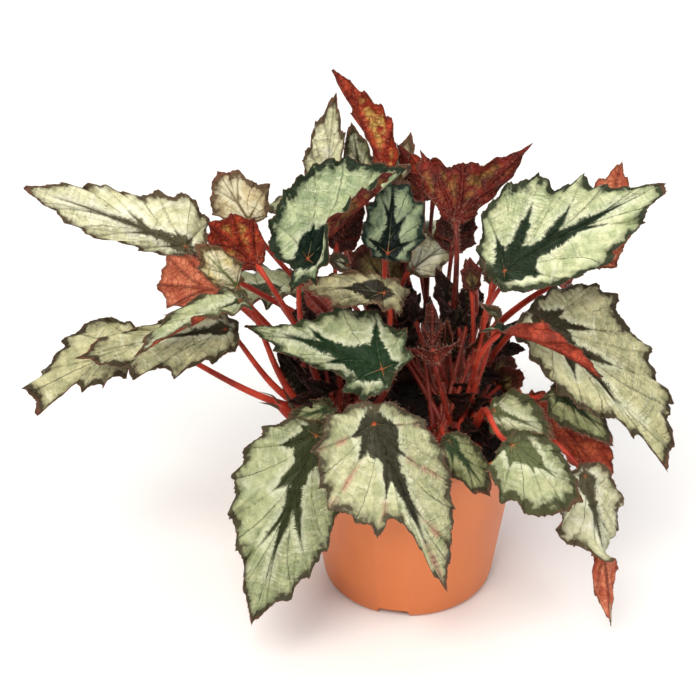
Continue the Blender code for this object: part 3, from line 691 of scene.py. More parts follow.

# %% [markdown]
# ## Leaf table
#
# A leaf is set by its junction, where the stalk meets the blade, and by its tip, in millimetres, and
# face is the way that its upper side looks. left and right are the corners of its edge on each side of
# the midrib, in percent of its length: how far along the midrib and how far out from it, from the tip
# round to the sinus behind the junction. A fold lifts a side towards the face, twist turns the tip,
# meet is the angle between stalk and blade, and rise is how far the stalk climbs before it leans over.
# The last value is a word such as silver_leaf or red_leaf. A leaf that the photo hides keeps the plain
# edge.

# %% Leaf table
STALK_RISE = 0.3

Rhizome = namedtuple("Rhizome", "name start end")
RHIZOMES = (
    Rhizome("rhizome_left", (-36, -26), (-33, 18)),
    Rhizome("rhizome_right", (27, -24), (25, 18)),
    Rhizome("rhizome_back", (-20, 36), (28, 34)),
)
Leaf = namedtuple(
    "Leaf",
    "name rhizome junction tip face left right fold_left fold_right twist meet rise finish",
)

PLAIN_EDGE = ((78, 12), (55, 25), (30, 35), (5, 34), (-16, 20), (-14, 3))


def shares(edge):
    """Corners in percent of the leaf's length as shares of it."""
    return [(along / 100, out / 100) for along, out in edge]


def leaf(name, rhizome, junction, tip, face, left=PLAIN_EDGE, right=PLAIN_EDGE, fold=(8, 8),
         twist=0, meet=50, rise=STALK_RISE, finish="silver_leaf"):
    shape = (shares(left), shares(right), *fold, twist)
    return Leaf(name, rhizome, junction, tip, face, *shape, meet, rise, finish)


LEFT, RIGHT, BACK = (r.name for r in RHIZOMES)
LEAVES = (
    leaf("leaf_front", LEFT, (-19, -62, 138), (17, -88, 55), (0, -0.8, 0.6),
         left=((78, 11), (60, 20), (44, 25), (28, 28), (10, 25), (-5, 15), (-11, 3)),
         right=((88, 3), (70, 4), (51, 8), (55, 22), (41, 29), (30, 39), (18, 38), (0, 34),
                (-14, 20), (-13, 3))),
    leaf("leaf_front_left", LEFT, (-47, -50, 122), (-79, -84, 30), (-0.2, -0.8, 0.55),
         left=((90, 5), (79, 14), (65, 20), (50, 24), (32, 24), (14, 22), (-3, 14), (-7, 2)),
         right=((85, 8), (70, 13), (66, 18), (53, 26), (33, 31), (18, 30), (5, 24), (-4, 14),
                (-7, 3))),
    leaf("leaf_centre", LEFT, (-15, -42, 156), (-85, -9, 160), (-0.1, -0.45, 0.9),
         left=((85, 6), (71, 12), (44, 15), (26, 13), (18, 21), (2, 24), (-10, 12), (-9, 2)),
         right=((78, 5), (61, 13), (43, 28), (18, 34), (-3, 29), (-14, 15), (-10, 3)),
         fold=(-32, 5)),
    leaf("leaf_upper_left", LEFT, (-51, -12, 200), (-1, 30, 227), (-0.2, -0.75, 0.6),
         left=((83, 17), (72, 35), (50, 45), (22, 46), (2, 40), (-14, 24), (-13, 4)),
         right=((75, 10), (45, 24), (20, 26), (-2, 22), (-22, 12), (-20, 2)),
         fold=(5, 100)),
    leaf("leaf_upper_centre", BACK, (-12, 8, 190), (-9, 34, 219), (0.2, -0.75, 0.6),
         left=((82, 22), (52, 35), (20, 40), (-5, 22), (-8, 3)),
         right=((92, 22), (70, 37), (50, 45), (25, 46), (-6, 28), (-11, 3))),
    leaf("leaf_mid", LEFT, (-14, -22, 187), (-55, -25, 191), (0, -0.3, 0.95),
         left=((86, 10), (65, 24), (37, 25), (16, 15), (0, 28), (-28, 18), (-30, 4)),
         right=((81, 14), (48, 24), (18, 25), (-13, 25), (-40, 24), (-34, 4)),
         fold=(-10, 8)),
    leaf("leaf_right_high", RIGHT, (44, -15, 195), (125, 25, 220), (0.1, -0.5, 0.86),
         left=((85, 5), (68, 15), (65, 25), (52, 24), (44, 37), (28, 39), (8, 34), (-6, 18),
               (-8, 3)),
         right=((94, 5), (77, 14), (48, 24), (25, 22), (6, 18), (-7, 9), (-8, 2)),
         fold=(4, -14)),
    leaf("leaf_right_low", RIGHT, (64, -5, 159), (125, -45, 96), (0.45, -0.5, 0.75),
         left=((92, 13), (78, 28), (63, 29), (48, 39), (35, 35), (20, 40), (5, 40), (-10, 24),
               (-10, 3)),
         right=((86, 2), (76, 6), (62, 11), (48, 21), (30, 25), (10, 25), (-8, 14), (-10, 3))),
    leaf("leaf_front_right", RIGHT, (47, -72, 133), (81, -84, 109), (0.25, -0.7, 0.65),
         left=((84, 14), (56, 26), (25, 32), (-5, 18), (-8, 3)),
         right=((97, 20), (78, 46), (55, 57), (24, 60), (-6, 42), (-10, 4)),
         meet=40, rise=1),
    leaf("leaf_small_right", RIGHT, (40, -36, 127), (70, -48, 119), (0.1, -0.6, 0.8),
         left=((85, 17), (50, 40), (10, 40), (-8, 18), (-8, 3)),
         right=((78, 20), (38, 36), (8, 32), (-8, 15), (-8, 3))),
    leaf("leaf_red_right", RIGHT, (60, -18, 122), (98, -42, 86), (0.3, 0.9, -0.1),
         left=((86, 15), (54, 20), (24, 18), (-4, 8)),
         right=((88, 18), (59, 28), (33, 19), (10, 12), (-5, 5)),
         meet=80, rise=0.5, finish="red_leaf"),
    leaf("leaf_low_front", RIGHT, (17, -56, 124), (38, -62, 94), (0.1, -0.75, 0.6),
         left=((72, 20), (34, 28), (0, 20), (-8, 3)),
         right=((80, 16), (43, 27), (4, 22), (-8, 3)),
         meet=60, finish="olive_leaf"),
    leaf("leaf_low_left", LEFT, (-40, -24, 119), (-64, -25, 111), (-0.2, -0.6, 0.75),
         left=((76, 18), (40, 28), (0, 24), (-12, 5)),
         right=((76, 18), (36, 30), (-5, 22), (-12, 5)),
         finish="olive_leaf"),
    leaf("leaf_left_mid", LEFT, (-84, -14, 177), (-135, -38, 160), (-0.2, -0.5, 0.8),
         left=((78, 10), (48, 18), (18, 20), (-6, 10)),
         right=((81, 11), (60, 19), (24, 19), (0, 15), (-10, 5)),
         fold=(56, 5)),
    leaf("leaf_left_under", LEFT, (-92, -8, 156), (-164, -23, 149), (-0.1, -0.55, 0.8),
         left=((87, 10), (71, 16), (68, 24), (50, 20), (42, 29), (16, 25), (-4, 17), (-10, 4)),
         right=((83, 9), (58, 10), (28, 15), (-5, 12), (-10, 3))),
    leaf("leaf_far_left", LEFT, (-138, -2, 147), (-185, -25, 116), (-0.3, -0.5, 0.8),
         left=((67, 4), (60, 15), (45, 24), (26, 27), (2, 16), (-8, 4)),
         right=((96, 26), (74, 28), (46, 35), (10, 32), (-6, 15), (-8, 4))),
    leaf("leaf_red_left", LEFT, (-92, 12, 165), (-126, 8, 172), (-0.2, 0.9, -0.2),
         left=((90, 40), (66, 48), (28, 36), (-5, 15)),
         right=((80, 36), (48, 33), (12, 25), (-8, 10)),
         meet=70, finish="red_leaf"),
    leaf("leaf_left_high", BACK, (-112, 25, 183), (-194, 45, 205), (-0.1, -0.55, 0.8),
         left=((81, 7), (70, 12), (51, 15), (37, 12), (24, 13), (10, 10), (-4, 6), (-6, 2)),
         right=((78, 9), (56, 17), (44, 15), (27, 24), (10, 29), (-8, 20), (-10, 3)),
         fold=(-30, 5)),
    leaf("leaf_back_left", BACK, (-81, 35, 192), (-97, 60, 205), (-0.1, -0.6, 0.75),
         left=((78, 24), (38, 44), (-5, 26), (-10, 4)),
         right=((78, 28), (26, 56), (-10, 28), (-10, 4))),
    leaf("leaf_red_left_high", LEFT, (-77, 14, 180), (-100, 8, 208), (-0.2, 0.9, -0.2),
         left=((76, 30), (50, 46), (10, 30), (-6, 10)),
         right=((75, 20), (40, 30), (10, 22), (-6, 8)),
         meet=70, finish="red_leaf"),
    leaf("leaf_curled_left", LEFT, (-86, 0, 176), (-105, -10, 207), (-0.1, -0.6, 0.7),
         left=((75, 20), (35, 22), (-5, 10)),
         right=((83, 18), (28, 28), (-5, 10))),
    leaf("leaf_top", BACK, (-42, 42, 204), (-37, 60, 252), (-0.3, -0.9, 0.2),
         left=((76, 11), (68, 17), (40, 22), (30, 27), (0, 20), (-8, 4)),
         right=((74, 9), (62, 15), (38, 16), (0, 18), (-8, 4))),
    leaf("leaf_red_top", BACK, (-13, 44, 212), (-39, 52, 270), (0.2, 0.95, -0.1),
         left=((83, 7), (53, 20), (36, 21), (14, 17), (-5, 6)),
         right=((80, 7), (50, 16), (20, 16), (-5, 6)),
         fold=(8, 75), meet=75, finish="red_leaf"),
    leaf("leaf_top_behind", BACK, (-24, 56, 200), (-30, 70, 229), (0, -0.9, 0.3),
         left=((70, 16), (35, 25), (0, 20), (-8, 4)),
         right=((56, 22), (20, 26), (0, 18), (-8, 4)),
         finish="olive_leaf"),
    leaf("leaf_top_curled", BACK, (-6, 56, 202), (0, 70, 222), (-0.1, -0.8, 0.5),
         left=((70, 16), (30, 20), (-5, 8)),
         right=((80, 16), (30, 20), (-5, 8))),
    leaf("leaf_red_right_high", BACK, (21, 20, 201), (58, 35, 236), (0, 0.9, -0.2),
         left=((66, 12), (41, 12), (20, 12), (-4, 6)),
         right=((70, 11), (44, 32), (30, 52), (26, 68), (12, 60), (0, 38), (-5, 10)),
         meet=75, finish="red_leaf"),
    leaf("leaf_mid_back", BACK, (1, 25, 170), (21, 45, 174), (0.1, -0.7, 0.6),
         left=((89, 20), (62, 45), (10, 38), (-10, 6)),
         right=((83, 20), (30, 40), (0, 22), (-10, 6))),
    leaf("leaf_young_right", RIGHT, (30, -5, 178), (28, 2, 192), (-0.2, -0.8, 0.5),
         left=((60, 34), (10, 25), (-10, 8)),
         right=((55, 36), (10, 25), (-10, 8)),
         meet=65, finish="olive_leaf"),
    leaf("leaf_young_centre", RIGHT, (10, -20, 151), (10, -6, 171), (0, 0.9, 0.1),
         left=((50, 22), (10, 16)),
         right=((50, 22), (10, 16)),
         meet=80, finish="red_leaf"),
    leaf("leaf_folded_right", RIGHT, (43, -32, 171), (91, -42, 152), (0.1, 0.1, 1),
         left=((70, 5), (35, 8), (0, 16), (-12, 6)),
         right=((85, 8), (60, 15), (35, 20), (0, 18), (-18, 10)),
         fold=(15, 100), finish="red_leaf"),
    leaf("leaf_low_right", RIGHT, (85, -55, 101), (102, -68, 14), (0.3, -0.8, 0.5),
         left=((74, 8), (62, 8), (49, 12), (37, 11), (18, 18), (-4, 12), (-7, 2)),
         right=((70, 6), (49, 9), (36, 18), (26, 24), (10, 20), (-5, 10), (-7, 2)),
         twist=-180, rise=0.6),
    leaf("leaf_back_right", BACK, (92, 32, 172), (104, 42, 222), (0.3, 0.8, 0.3),
         left=((70, 16), (36, 28), (0, 24), (-10, 10)),
         right=((69, 19), (36, 26), (8, 24), (-10, 10)),
         meet=75, rise=0.6, finish="red_leaf"),
    leaf("leaf_behind_left", LEFT, (-70, 48, 140), (-108, 92, 112), (-0.5, 0.6, 0.7)),
    leaf("leaf_behind_low", BACK, (-34, 72, 128), (-44, 116, 66), (-0.1, 0.8, 0.6)),
    leaf("leaf_behind_middle", BACK, (6, 76, 160), (16, 128, 130), (0.1, 0.6, 0.8)),
    leaf("leaf_behind_right", BACK, (52, 62, 142), (88, 104, 104), (0.5, 0.6, 0.7)),
    leaf("leaf_behind_high", BACK, (-42, 78, 168), (-78, 116, 150), (-0.3, 0.4, 0.9)),
)
print("leaves", len(LEAVES))

# %% [markdown]
# ## From a flat leaf to its place
#
# Each point of a blade starts on a flat sheet, as a share of the leaf's length along and
# across its midrib. It is then rippled, folded, twisted and bent by formula, all at once
# for the whole sheet, and a last turn puts the junction and the tip where the table
# says. The fold has a rounded crease, because a midrib is no sharp line.

# %% Bending, folding and placing a blade
DROOP = math.radians(25)
LOBE_BEND = 5
TWIST_FROM, TWIST_TO = 0.3, 0.7
RIPPLES = 2.5
RIPPLE_HEIGHT = 0.025
FOLD_AT_JUNCTION = 0.35
FOLD_FULL_AT = 0.25
CREASE = 0.012


def ease(value):
    value = np.clip(value, 0, 1)
    return value * value * (3 - 2 * value)


def bend(along, side, height):
    """Points of the flat blade once the midrib is bent, with the junction at rest."""
    droop = DROOP * np.where(along < 0, LOBE_BEND, 1)
    turn = droop * along
    x = np.sin(turn) / droop + height * np.sin(turn)
    z = (np.cos(turn) - 1) / droop + height * np.cos(turn)
    return np.stack([x, side, z], axis=-1)


def blade_points(leaf, along, side, reach, raised):
    """Where points of the flat blade come to lie, once raised lifts them off the sheet."""
    around = np.arctan2(side, along)
    height = RIPPLE_HEIGHT * reach**2 * np.sin(2 * RIPPLES * around + len(leaf.name)) + raised
    fold = np.where(side > 0, leaf.fold_left, leaf.fold_right)
    share = FOLD_AT_JUNCTION + (1 - FOLD_AT_JUNCTION) * ease(along / FOLD_FULL_AT)
    lift = np.radians(fold) * share
    out = np.sqrt(side**2 + CREASE**2) - CREASE
    side, height = (
        side * np.cos(lift) - np.sign(side) * height * np.sin(lift),
        out * np.sin(lift) + height * np.cos(lift),
    )
    roll = math.radians(leaf.twist) * ease((along - TWIST_FROM) / (TWIST_TO - TWIST_FROM))
    side, height = (
        side * np.cos(roll) - height * np.sin(roll),
        side * np.sin(roll) + height * np.cos(roll),
    )
    return bend(along, side, height)


def axes(along, up):
    """Three square axes as columns: along, across, and the one nearest to up."""
    first = along.normalized()
    third = (up - up.dot(first) * first).normalized()
    return Matrix((first, third.cross(first), third)).transposed()


def blade_frame(leaf):
    """The matrix that puts a bent blade of unit length between its junction and its tip."""
    junction, tip = Vector(leaf.junction) * MM, Vector(leaf.tip) * MM
    chord = Vector(bend(np.array(1.0), np.array(0.0), np.array(0.0)))
    local = axes(chord, Vector((0, 0, 1)))
    world = axes(tip - junction, Vector(leaf.face))
    size = (tip - junction).length / chord.length
    return Matrix.LocRotScale(junction, world @ local.transposed(), Vector((size,) * 3))


def blade_length(leaf):
    """The leaf's length from junction to tip along the blade, in mm."""
    return blade_frame(leaf).to_scale().x / MM


print("longest blade", round(max(blade_length(each) for each in LEAVES)), "mm")

# %% [markdown]
# ## Margin
#
# The margin swings in shallow bays from one corner to the next, and small uneven teeth about
# 3 mm apart sit on it. Both come from sums of sines along the edge, because their lengths
# in millimetres can then be set one by one. The margin is drawn on the flat leaf.

# %% Margin
CUT_DEPTH = (0.02, 0.09)
TIP_FULLNESS = 0.985
LAP_WIDTH = 0.03
EDGE_STEP = 0.8
TOOTH_SPACING = 3.1
TOOTH_HEIGHT = 0.8
# Each strays by so much at most, over such a stretch, so that no two teeth are alike.
TOOTH_STRAYS = ((0.9, 2.3), (0.7, 5.1))
LOBE_HEIGHT = 1.5
LOBE_STRETCHES = (1.9, 7.7)
LAP_REACH = 0.9
# Close to the junction and on small leaves, teeth and ruffles are smaller.
CALM_REACH = 0.2
FULL_SIZE = 45


def corners(leaf):
    """The corners of the flat blade from the left side of the sinus round the tip to its right."""
    return [*reversed(leaf.left), (1, 0), *((along, -out) for along, out in leaf.right)]


def margin(leaf, size):
    """The flat blade's edge, with a bay between corners and teeth all the way."""
    draw = random.Random(leaf.name)
    turns = corners(leaf)
    bays = [1 - draw.uniform(*CUT_DEPTH) for _ in turns[1:]]
    # The tip is a little blunt: its two sides run almost straight.
    for place in (len(leaf.left) - 1, len(leaf.left)):
        bays[place] = TIP_FULLNESS
    # The lobes behind the junction reach a little over each other.
    first, last = (turns[end][0] * LAP_REACH for end in (0, -1))
    turns = [(first, -LAP_WIDTH), *turns, (last, LAP_WIDTH)]
    line = []
    for first, second, kept in zip(turns, turns[1:], (1, *bays, 1)):
        first, second = np.array(first), np.array(second)
        middle = kept * (first + second) / 2
        count = max(3, round(np.linalg.norm(second - first) * size / EDGE_STEP))
        t = np.linspace(0, 1, count, endpoint=False)[:, None]
        line.append((1 - t) * (1 - 2 * t) * first + 4 * t * (1 - t) * middle
                    + t * (2 * t - 1) * second)
    line = np.vstack([*line, turns[-1]])
    run = np.concatenate([[0], np.cumsum(np.linalg.norm(np.diff(line, axis=0), axis=1))]) * size
    phase = draw.uniform(0, math.tau)
    (near, short), (wide, long) = TOOTH_STRAYS
    stray = run + near * np.sin(run / short + phase) + wide * np.sin(run / long)
    teeth = 0.5 - np.abs(np.sin(math.pi * stray / TOOTH_SPACING))
    short, long = LOBE_STRETCHES
    slow = np.sin(run / short + phase) * np.sin(run / long)
    far = np.linalg.norm(line, axis=1)
    out = (TOOTH_HEIGHT * teeth + LOBE_HEIGHT * slow) / max(size, FULL_SIZE)
    out *= np.clip(far / CALM_REACH, 0, 1)
    return line * (1 + out / np.maximum(far, 0.05))[:, None]


print("points round the front leaf", len(margin(LEAVES[0], blade_length(LEAVES[0]))))

# %% [markdown]
# ## Main veins and star
#
# The main veins fan out from the junction to the corners, and the corners near the tip are
# fed by branches of the midrib. The dark star follows them: it is a kite round the
# junction, from which a finger runs out along each vein and narrows to nothing.

# %% Main veins and star
# A main vein runs to every other corner, or to each where a side has few, unless it is too short.
FEW_CORNERS = 4
LEAST_OUT = 0.045
# A side vein to a corner near the tip branches off the midrib a little before it.
BRANCH_SLOPE = 0.9
BRANCH_LEAD = 0.12
BRANCH_SHARE = 0.75
VEIN_BOW = (0.1, 0.03)
VEIN_END = 0.99
VEIN_FOLLOWED = (0.55, 0.95)
STAR_FINGER = 0.065
STAR_CORE = 0.1
STAR_AHEAD = 0.6
KITE_STRETCH = (2.3, 1.4)
KITE_CORNER = 1.25
# A side finger follows its vein by this much more than its share.
FINGER_STRETCH = 1.3
# Fingers that branch off the midrib start narrower, up to this share of the midrib's own finger.
NARROWING_TO = 0.8
PAST_FINGER_MM = 3
# The strokes beside a vein slant, because a step across the blade counts for more than one along.
RUN_SLANT = (1, 1.7)


def veins(leaf):
    """Each main vein as (points on the flat blade, the share of it that the star may follow)."""
    draw = random.Random(leaf.name + "veins")
    lines = [(np.linspace((0, 0), (1, 0), 50), 1)]
    for side_corners, sign, first in ((leaf.left, 1, 0), (leaf.right, -1, 1)):
        step = 2 if len(side_corners) > FEW_CORNERS else 1
        for along, side in side_corners[first % step :: step]:
            if side > LEAST_OUT:
                foot = max(0, along - BRANCH_SLOPE * side - BRANCH_LEAD) * BRANCH_SHARE
                start, end = np.array((foot, 0)), np.array((along, sign * side)) * VEIN_END
                bow = np.array((VEIN_BOW[0], -VEIN_BOW[1] * sign)) * np.linalg.norm(end - start)
                pull = (start + end) / 2 + bow
                t = np.linspace(0, 1, 30)[:, None]
                line = (1 - t) ** 2 * start + 2 * t * (1 - t) * pull + t**2 * end
                lines.append((line, draw.uniform(*VEIN_FOLLOWED)))
    return lines


def near_veins(leaf, spots, size, star_size, midrib_reach, side_reach):
    """Distance to the nearest main vein, the way out along it, and the depth in the star, in mm."""
    distance, run = np.full(len(spots), math.inf), np.zeros(len(spots))
    # The star's core is a kite, blunt behind the junction and pointed along the midrib.
    core = STAR_CORE * star_size
    ahead = spots[:, 0] - STAR_AHEAD * core
    stretched = np.abs(ahead) / np.where(ahead > 0, *KITE_STRETCH)
    kite = (stretched**KITE_CORNER + np.abs(spots[:, 1]) ** KITE_CORNER) ** (1 / KITE_CORNER)
    star = (core - kite) * size
    for line, followed in veins(leaf):
        gaps = np.linalg.norm(spots[:, None, :] - line[None], axis=2)
        nearest, closest = gaps.argmin(axis=1), gaps.min(axis=1) * size
        out = nearest / (len(line) - 1)
        main = followed == 1
        reach = midrib_reach if main else followed * side_reach * FINGER_STRETCH
        taper = np.clip(1 - out / reach, 0, 1)
        start = 0 if main else line[0][0]
        wide = np.interp(start, (0, NARROWING_TO * midrib_reach), (STAR_FINGER, 0))
        finger = wide * star_size * size * taper - closest - PAST_FINGER_MM * (taper == 0)
        star = np.maximum(star, finger)
        better = closest < distance
        distance[better] = closest[better]
        run[better] = (line[nearest] @ RUN_SLANT * size)[better]
    return distance, run, star


print("veins of the front leaf", len(veins(LEAVES[0])))

# %% [markdown]
# ## Which leaf wears which skin
#
# The skins are given out leaf by leaf, as the photo shows them, with the size of each star. A
# leaf with its red underside turned to the camera is chosen for that side.

# %% Which leaf wears which skin
# For each leaf: its upper skin, its underside, how wide its star is, and how far out the
# star follows the midrib and the side veins, as shares of each.
LOOKS = {
    "leaf_front": ("stained", "red", 1.0, 0.7, 0.5),
    "leaf_front_left": ("silver", "red", 0.85, 0.75, 0.6),
    "leaf_centre": ("leafy", "red", 1.2, 0.75, 0.75),
    "leaf_upper_left": ("deep", "maroon", 1.4, 0.45, 0.35),
    "leaf_upper_centre": ("dusky", "red", 1.5, 0.95, 0.7),
    "leaf_mid": ("shaded", "red", 1.5, 0.6, 0.4),
    "leaf_right_high": ("bright", "red", 0.9, 0.8, 0.65),
    "leaf_right_low": ("grey", "red", 0.9, 0.65, 0.5),
    "leaf_front_right": ("faded", "red", 1.6, 0.6, 0.45),
    "leaf_small_right": ("faded", "red", 0.9, 0.75, 0.4),
    "leaf_red_right": ("silver", "brick", 1.0, 0.6, 0.4),
    "leaf_low_front": ("olive", "red", 1.0, 0.8, 0.5),
    "leaf_low_left": ("olive", "red", 1.0, 0.8, 0.5),
    "leaf_left_mid": ("silver", "brick", 0.3, 0.9, 0.1),
    "leaf_left_under": ("grey", "red", 0.5, 0.6, 0.1),
    "leaf_far_left": ("grey", "salmon", 0.1, 0.3, 0.1),
    "leaf_red_left": ("silver", "salmon", 1.0, 0.6, 0.4),
    "leaf_left_high": ("cream", "red", 0.5, 0.8, 0.4),
    "leaf_back_left": ("beige", "red", 0.4, 0.9, 0.7),
    "leaf_red_left_high": ("silver", "orange", 1.0, 0.6, 0.4),
    "leaf_curled_left": ("lime", "orange", 0.4, 0.8, 0.5),
    "leaf_top": ("cream", "red", 0.1, 0.4, 0.1),
    "leaf_red_top": ("deep", "orange", 1.0, 0.6, 0.4),
    "leaf_top_behind": ("silver", "red", 0.7, 0.8, 0.5),
    "leaf_top_curled": ("beige", "red", 0.8, 0.6, 0.4),
    "leaf_red_right_high": ("silver", "maroon", 1.0, 0.6, 0.4),
    "leaf_mid_back": ("cream", "red", 0.4, 0.8, 0.4),
    "leaf_young_right": ("bronze", "maroon", 1.0, 0.8, 0.4),
    "leaf_young_centre": ("bronze", "dark", 1.0, 0.8, 0.4),
    "leaf_folded_right": ("deep", "red", 1.2, 0.7, 0.4),
    "leaf_low_right": ("cream", "salmon", 0.55, 0.5, 0.3),
    "leaf_back_right": ("beige", "salmon", 0.6, 0.6, 0.4),
}
PLAIN_LOOK = ("silver", "red", 1.0, 0.7, 0.4)
print("leaves with a look of their own", len(LOOKS))

# %% [markdown]
# ## Relief of a blade
#
# On the real leaf the main veins are pressed a little into the upper face, the flesh between
# them is puffed up and puckered, and the margin is ruffled. These heights are worked out by
# formula in millimetres, because each point knows how far it is from the veins and from
# the margin. Sculpting 144 leaves by hand would take days.

# %% Relief of a blade
# The flesh is puffed up by so much, rising over so many mm from the nearest vein and the margin.
PUFF, PUFF_FROM_VEIN, PUFF_FROM_EDGE = 1.3, 6, 8
VEIN_GROOVE, GROOVE_WIDTH = 0.6, 1.2
PUCKER, PUCKER_FROM_VEIN, PUCKER_FROM_EDGE = 0.3, 4, 5
PUCKER_SPACING = 6.5
PUCKER_BOW = (2, 3)
RUFFLE = 3.1
RUFFLE_STRETCHES = (2.3, 8.9)
# Where the blade is narrower than this, ruffles are smaller.
NARROW = 10
LAP_HEIGHT = 0.9
LAP_LENGTH = 8


def surface_relief(leaf, size, turn, reach, edge, edge_mm, run_mm, vein_mm):
    """How far each point is lifted off the smooth blade, in mm."""
    puff = PUFF * ease(vein_mm / PUFF_FROM_VEIN) * ease(edge_mm / PUFF_FROM_EDGE)
    puff -= VEIN_GROOVE * np.exp(-((vein_mm / GROOVE_WIDTH) ** 2))
    bow, stretch = PUCKER_BOW
    waves = np.sin(run_mm * math.tau / PUCKER_SPACING + bow * np.sin(vein_mm / stretch))
    puff += PUCKER * waves * ease(vein_mm / PUCKER_FROM_VEIN) * ease(edge_mm / PUCKER_FROM_EDGE)
    phase = len(leaf.name) + leaf.tip[0]
    before, after = turn * EDGE_STEP, (len(edge) - 1 - turn) * EDGE_STEP
    short, long = RUFFLE_STRETCHES
    ruffle = RUFFLE * reach**5 * np.sin(before / short + phase) * np.sin(before / long + phase)
    ruffle *= np.clip(np.linalg.norm(edge[turn], axis=1) / CALM_REACH, 0, 1)
    ruffle *= np.clip(np.abs(edge[turn, 1]) * size / NARROW, 0, 1)
    # Of the two lobes behind the junction, one lies over the other.
    lap = np.clip(1 - before / LAP_LENGTH, 0, 1) - np.clip(1 - after / LAP_LENGTH, 0, 1)
    return (puff + ruffle) * min(1, size / FULL_SIZE) + LAP_HEIGHT * np.sqrt(reach) * lap


print("the flesh rises", PUFF, "mm and the ruffles", RUFFLE, "mm at most")

# %% [markdown]
# ## Building a blade
#
# A grid is wrapped round the junction like a fan: its columns run out to the margin and its
# rows become rings, so that the outline is as fine as the teeth need. Every point keeps the
# numbers that the skins read. The sheet is bent and put in its place, and Solidify then
# gives it its thickness, with the upper skin on one side and the red skin on the other.

# %% Blade builder
RING_STEP = 2.0
FEWEST_RINGS = 8
RING_CROWDING = 0.9
LEAF_THICKNESS = 0.45
TIP_MARGIN = 4.5
TIP_MARGIN_FADE = 7


def keep_numbers(sheet, flat_mm, numbers):
    """Every vertex keeps the numbers that the skins read."""
    layers = {name: sheet.verts.layers.float.new(name) for name in numbers}
    flat_layer = sheet.verts.layers.float_vector.new("flat_mm")
    for index, vertex in enumerate(sheet.verts):
        for name, layer in layers.items():
            vertex[layer] = numbers[name][index]
        vertex[flat_layer] = (*flat_mm[index], 0)


def blade_sheet(leaf, star):
    """The bent blade without its thickness, with a length of about 1 and the junction at rest."""
    size = blade_length(leaf)
    edge = margin(leaf, size)
    columns, rings = len(edge) - 1, max(FEWEST_RINGS, round(size / RING_STEP))
    sheet = bmesh.new()
    bmesh.ops.create_grid(sheet, x_segments=columns, y_segments=rings, size=1)
    place = np.array([vertex.co[:2] for vertex in sheet.verts])
    turn = np.rint((place[:, 0] + 1) / 2 * columns).astype(int)
    reach = (np.rint((place[:, 1] + 1) / 2 * rings) / rings) ** RING_CROWDING
    flat = edge[turn] * reach[:, None]
    vein_mm, run_mm, star_mm = near_veins(leaf, flat, size, *star)
    edge_mm = (1 - reach) * np.linalg.norm(edge[turn], axis=1) * size
    # The dark margin is wider round the tip.
    tip_mm = np.linalg.norm(flat - (1, 0), axis=1) * size
    rim_mm = edge_mm - TIP_MARGIN * np.exp(-tip_mm / TIP_MARGIN_FADE)
    raised = surface_relief(leaf, size, turn, reach, edge, edge_mm, run_mm, vein_mm) / size
    points = blade_points(leaf, flat[:, 0], flat[:, 1], reach, raised)
    for vertex, point in zip(sheet.verts, points):
        vertex.co = point
    sheet.verts.index_update()
    numbers = {"edge_mm": edge_mm, "rim_mm": rim_mm, "vein_mm": vein_mm, "run_mm": run_mm,
               "star_mm": star_mm}
    keep_numbers(sheet, flat * size, numbers)
    bmesh.ops.remove_doubles(sheet, verts=sheet.verts, dist=1e-6)
    return sheet


def grow(leaf, look):
    """A blade in its place, with its two skins and its thickness."""
    upper, lower, *star = look
    sheet = blade_sheet(leaf, star)
    placing = blade_frame(leaf)
    sheet.transform(placing)
    sheet.normal_update()
    up = placing.to_3x3() @ Vector((0, 0, 1))
    if sum(face.normal.dot(up) for face in sheet.faces) < 0:
        bmesh.ops.reverse_faces(sheet, faces=sheet.faces)
    for face in sheet.faces:
        face.smooth = True
    mesh = bpy.data.meshes.new(leaf.name)
    sheet.to_mesh(mesh)
    sheet.free()
    made = place_piece(leaf.name.replace("leaf", "blade"), mesh, [skins[upper], undersides[lower]])
    thick = made.modifiers.new("Thickness", "SOLIDIFY")
    thick.thickness = LEAF_THICKNESS * MM
    thick.offset = 0
    thick.material_offset = 1
    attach(made, "root")
    return made


blades = {}
for each in LEAVES:
    blades[each.name] = grow(each, LOOKS.get(each.name, PLAIN_LOOK))
    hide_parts(each.name)
print("blades", len(blades), "faces", sum(len(b.data.polygons) for b in blades.values()))
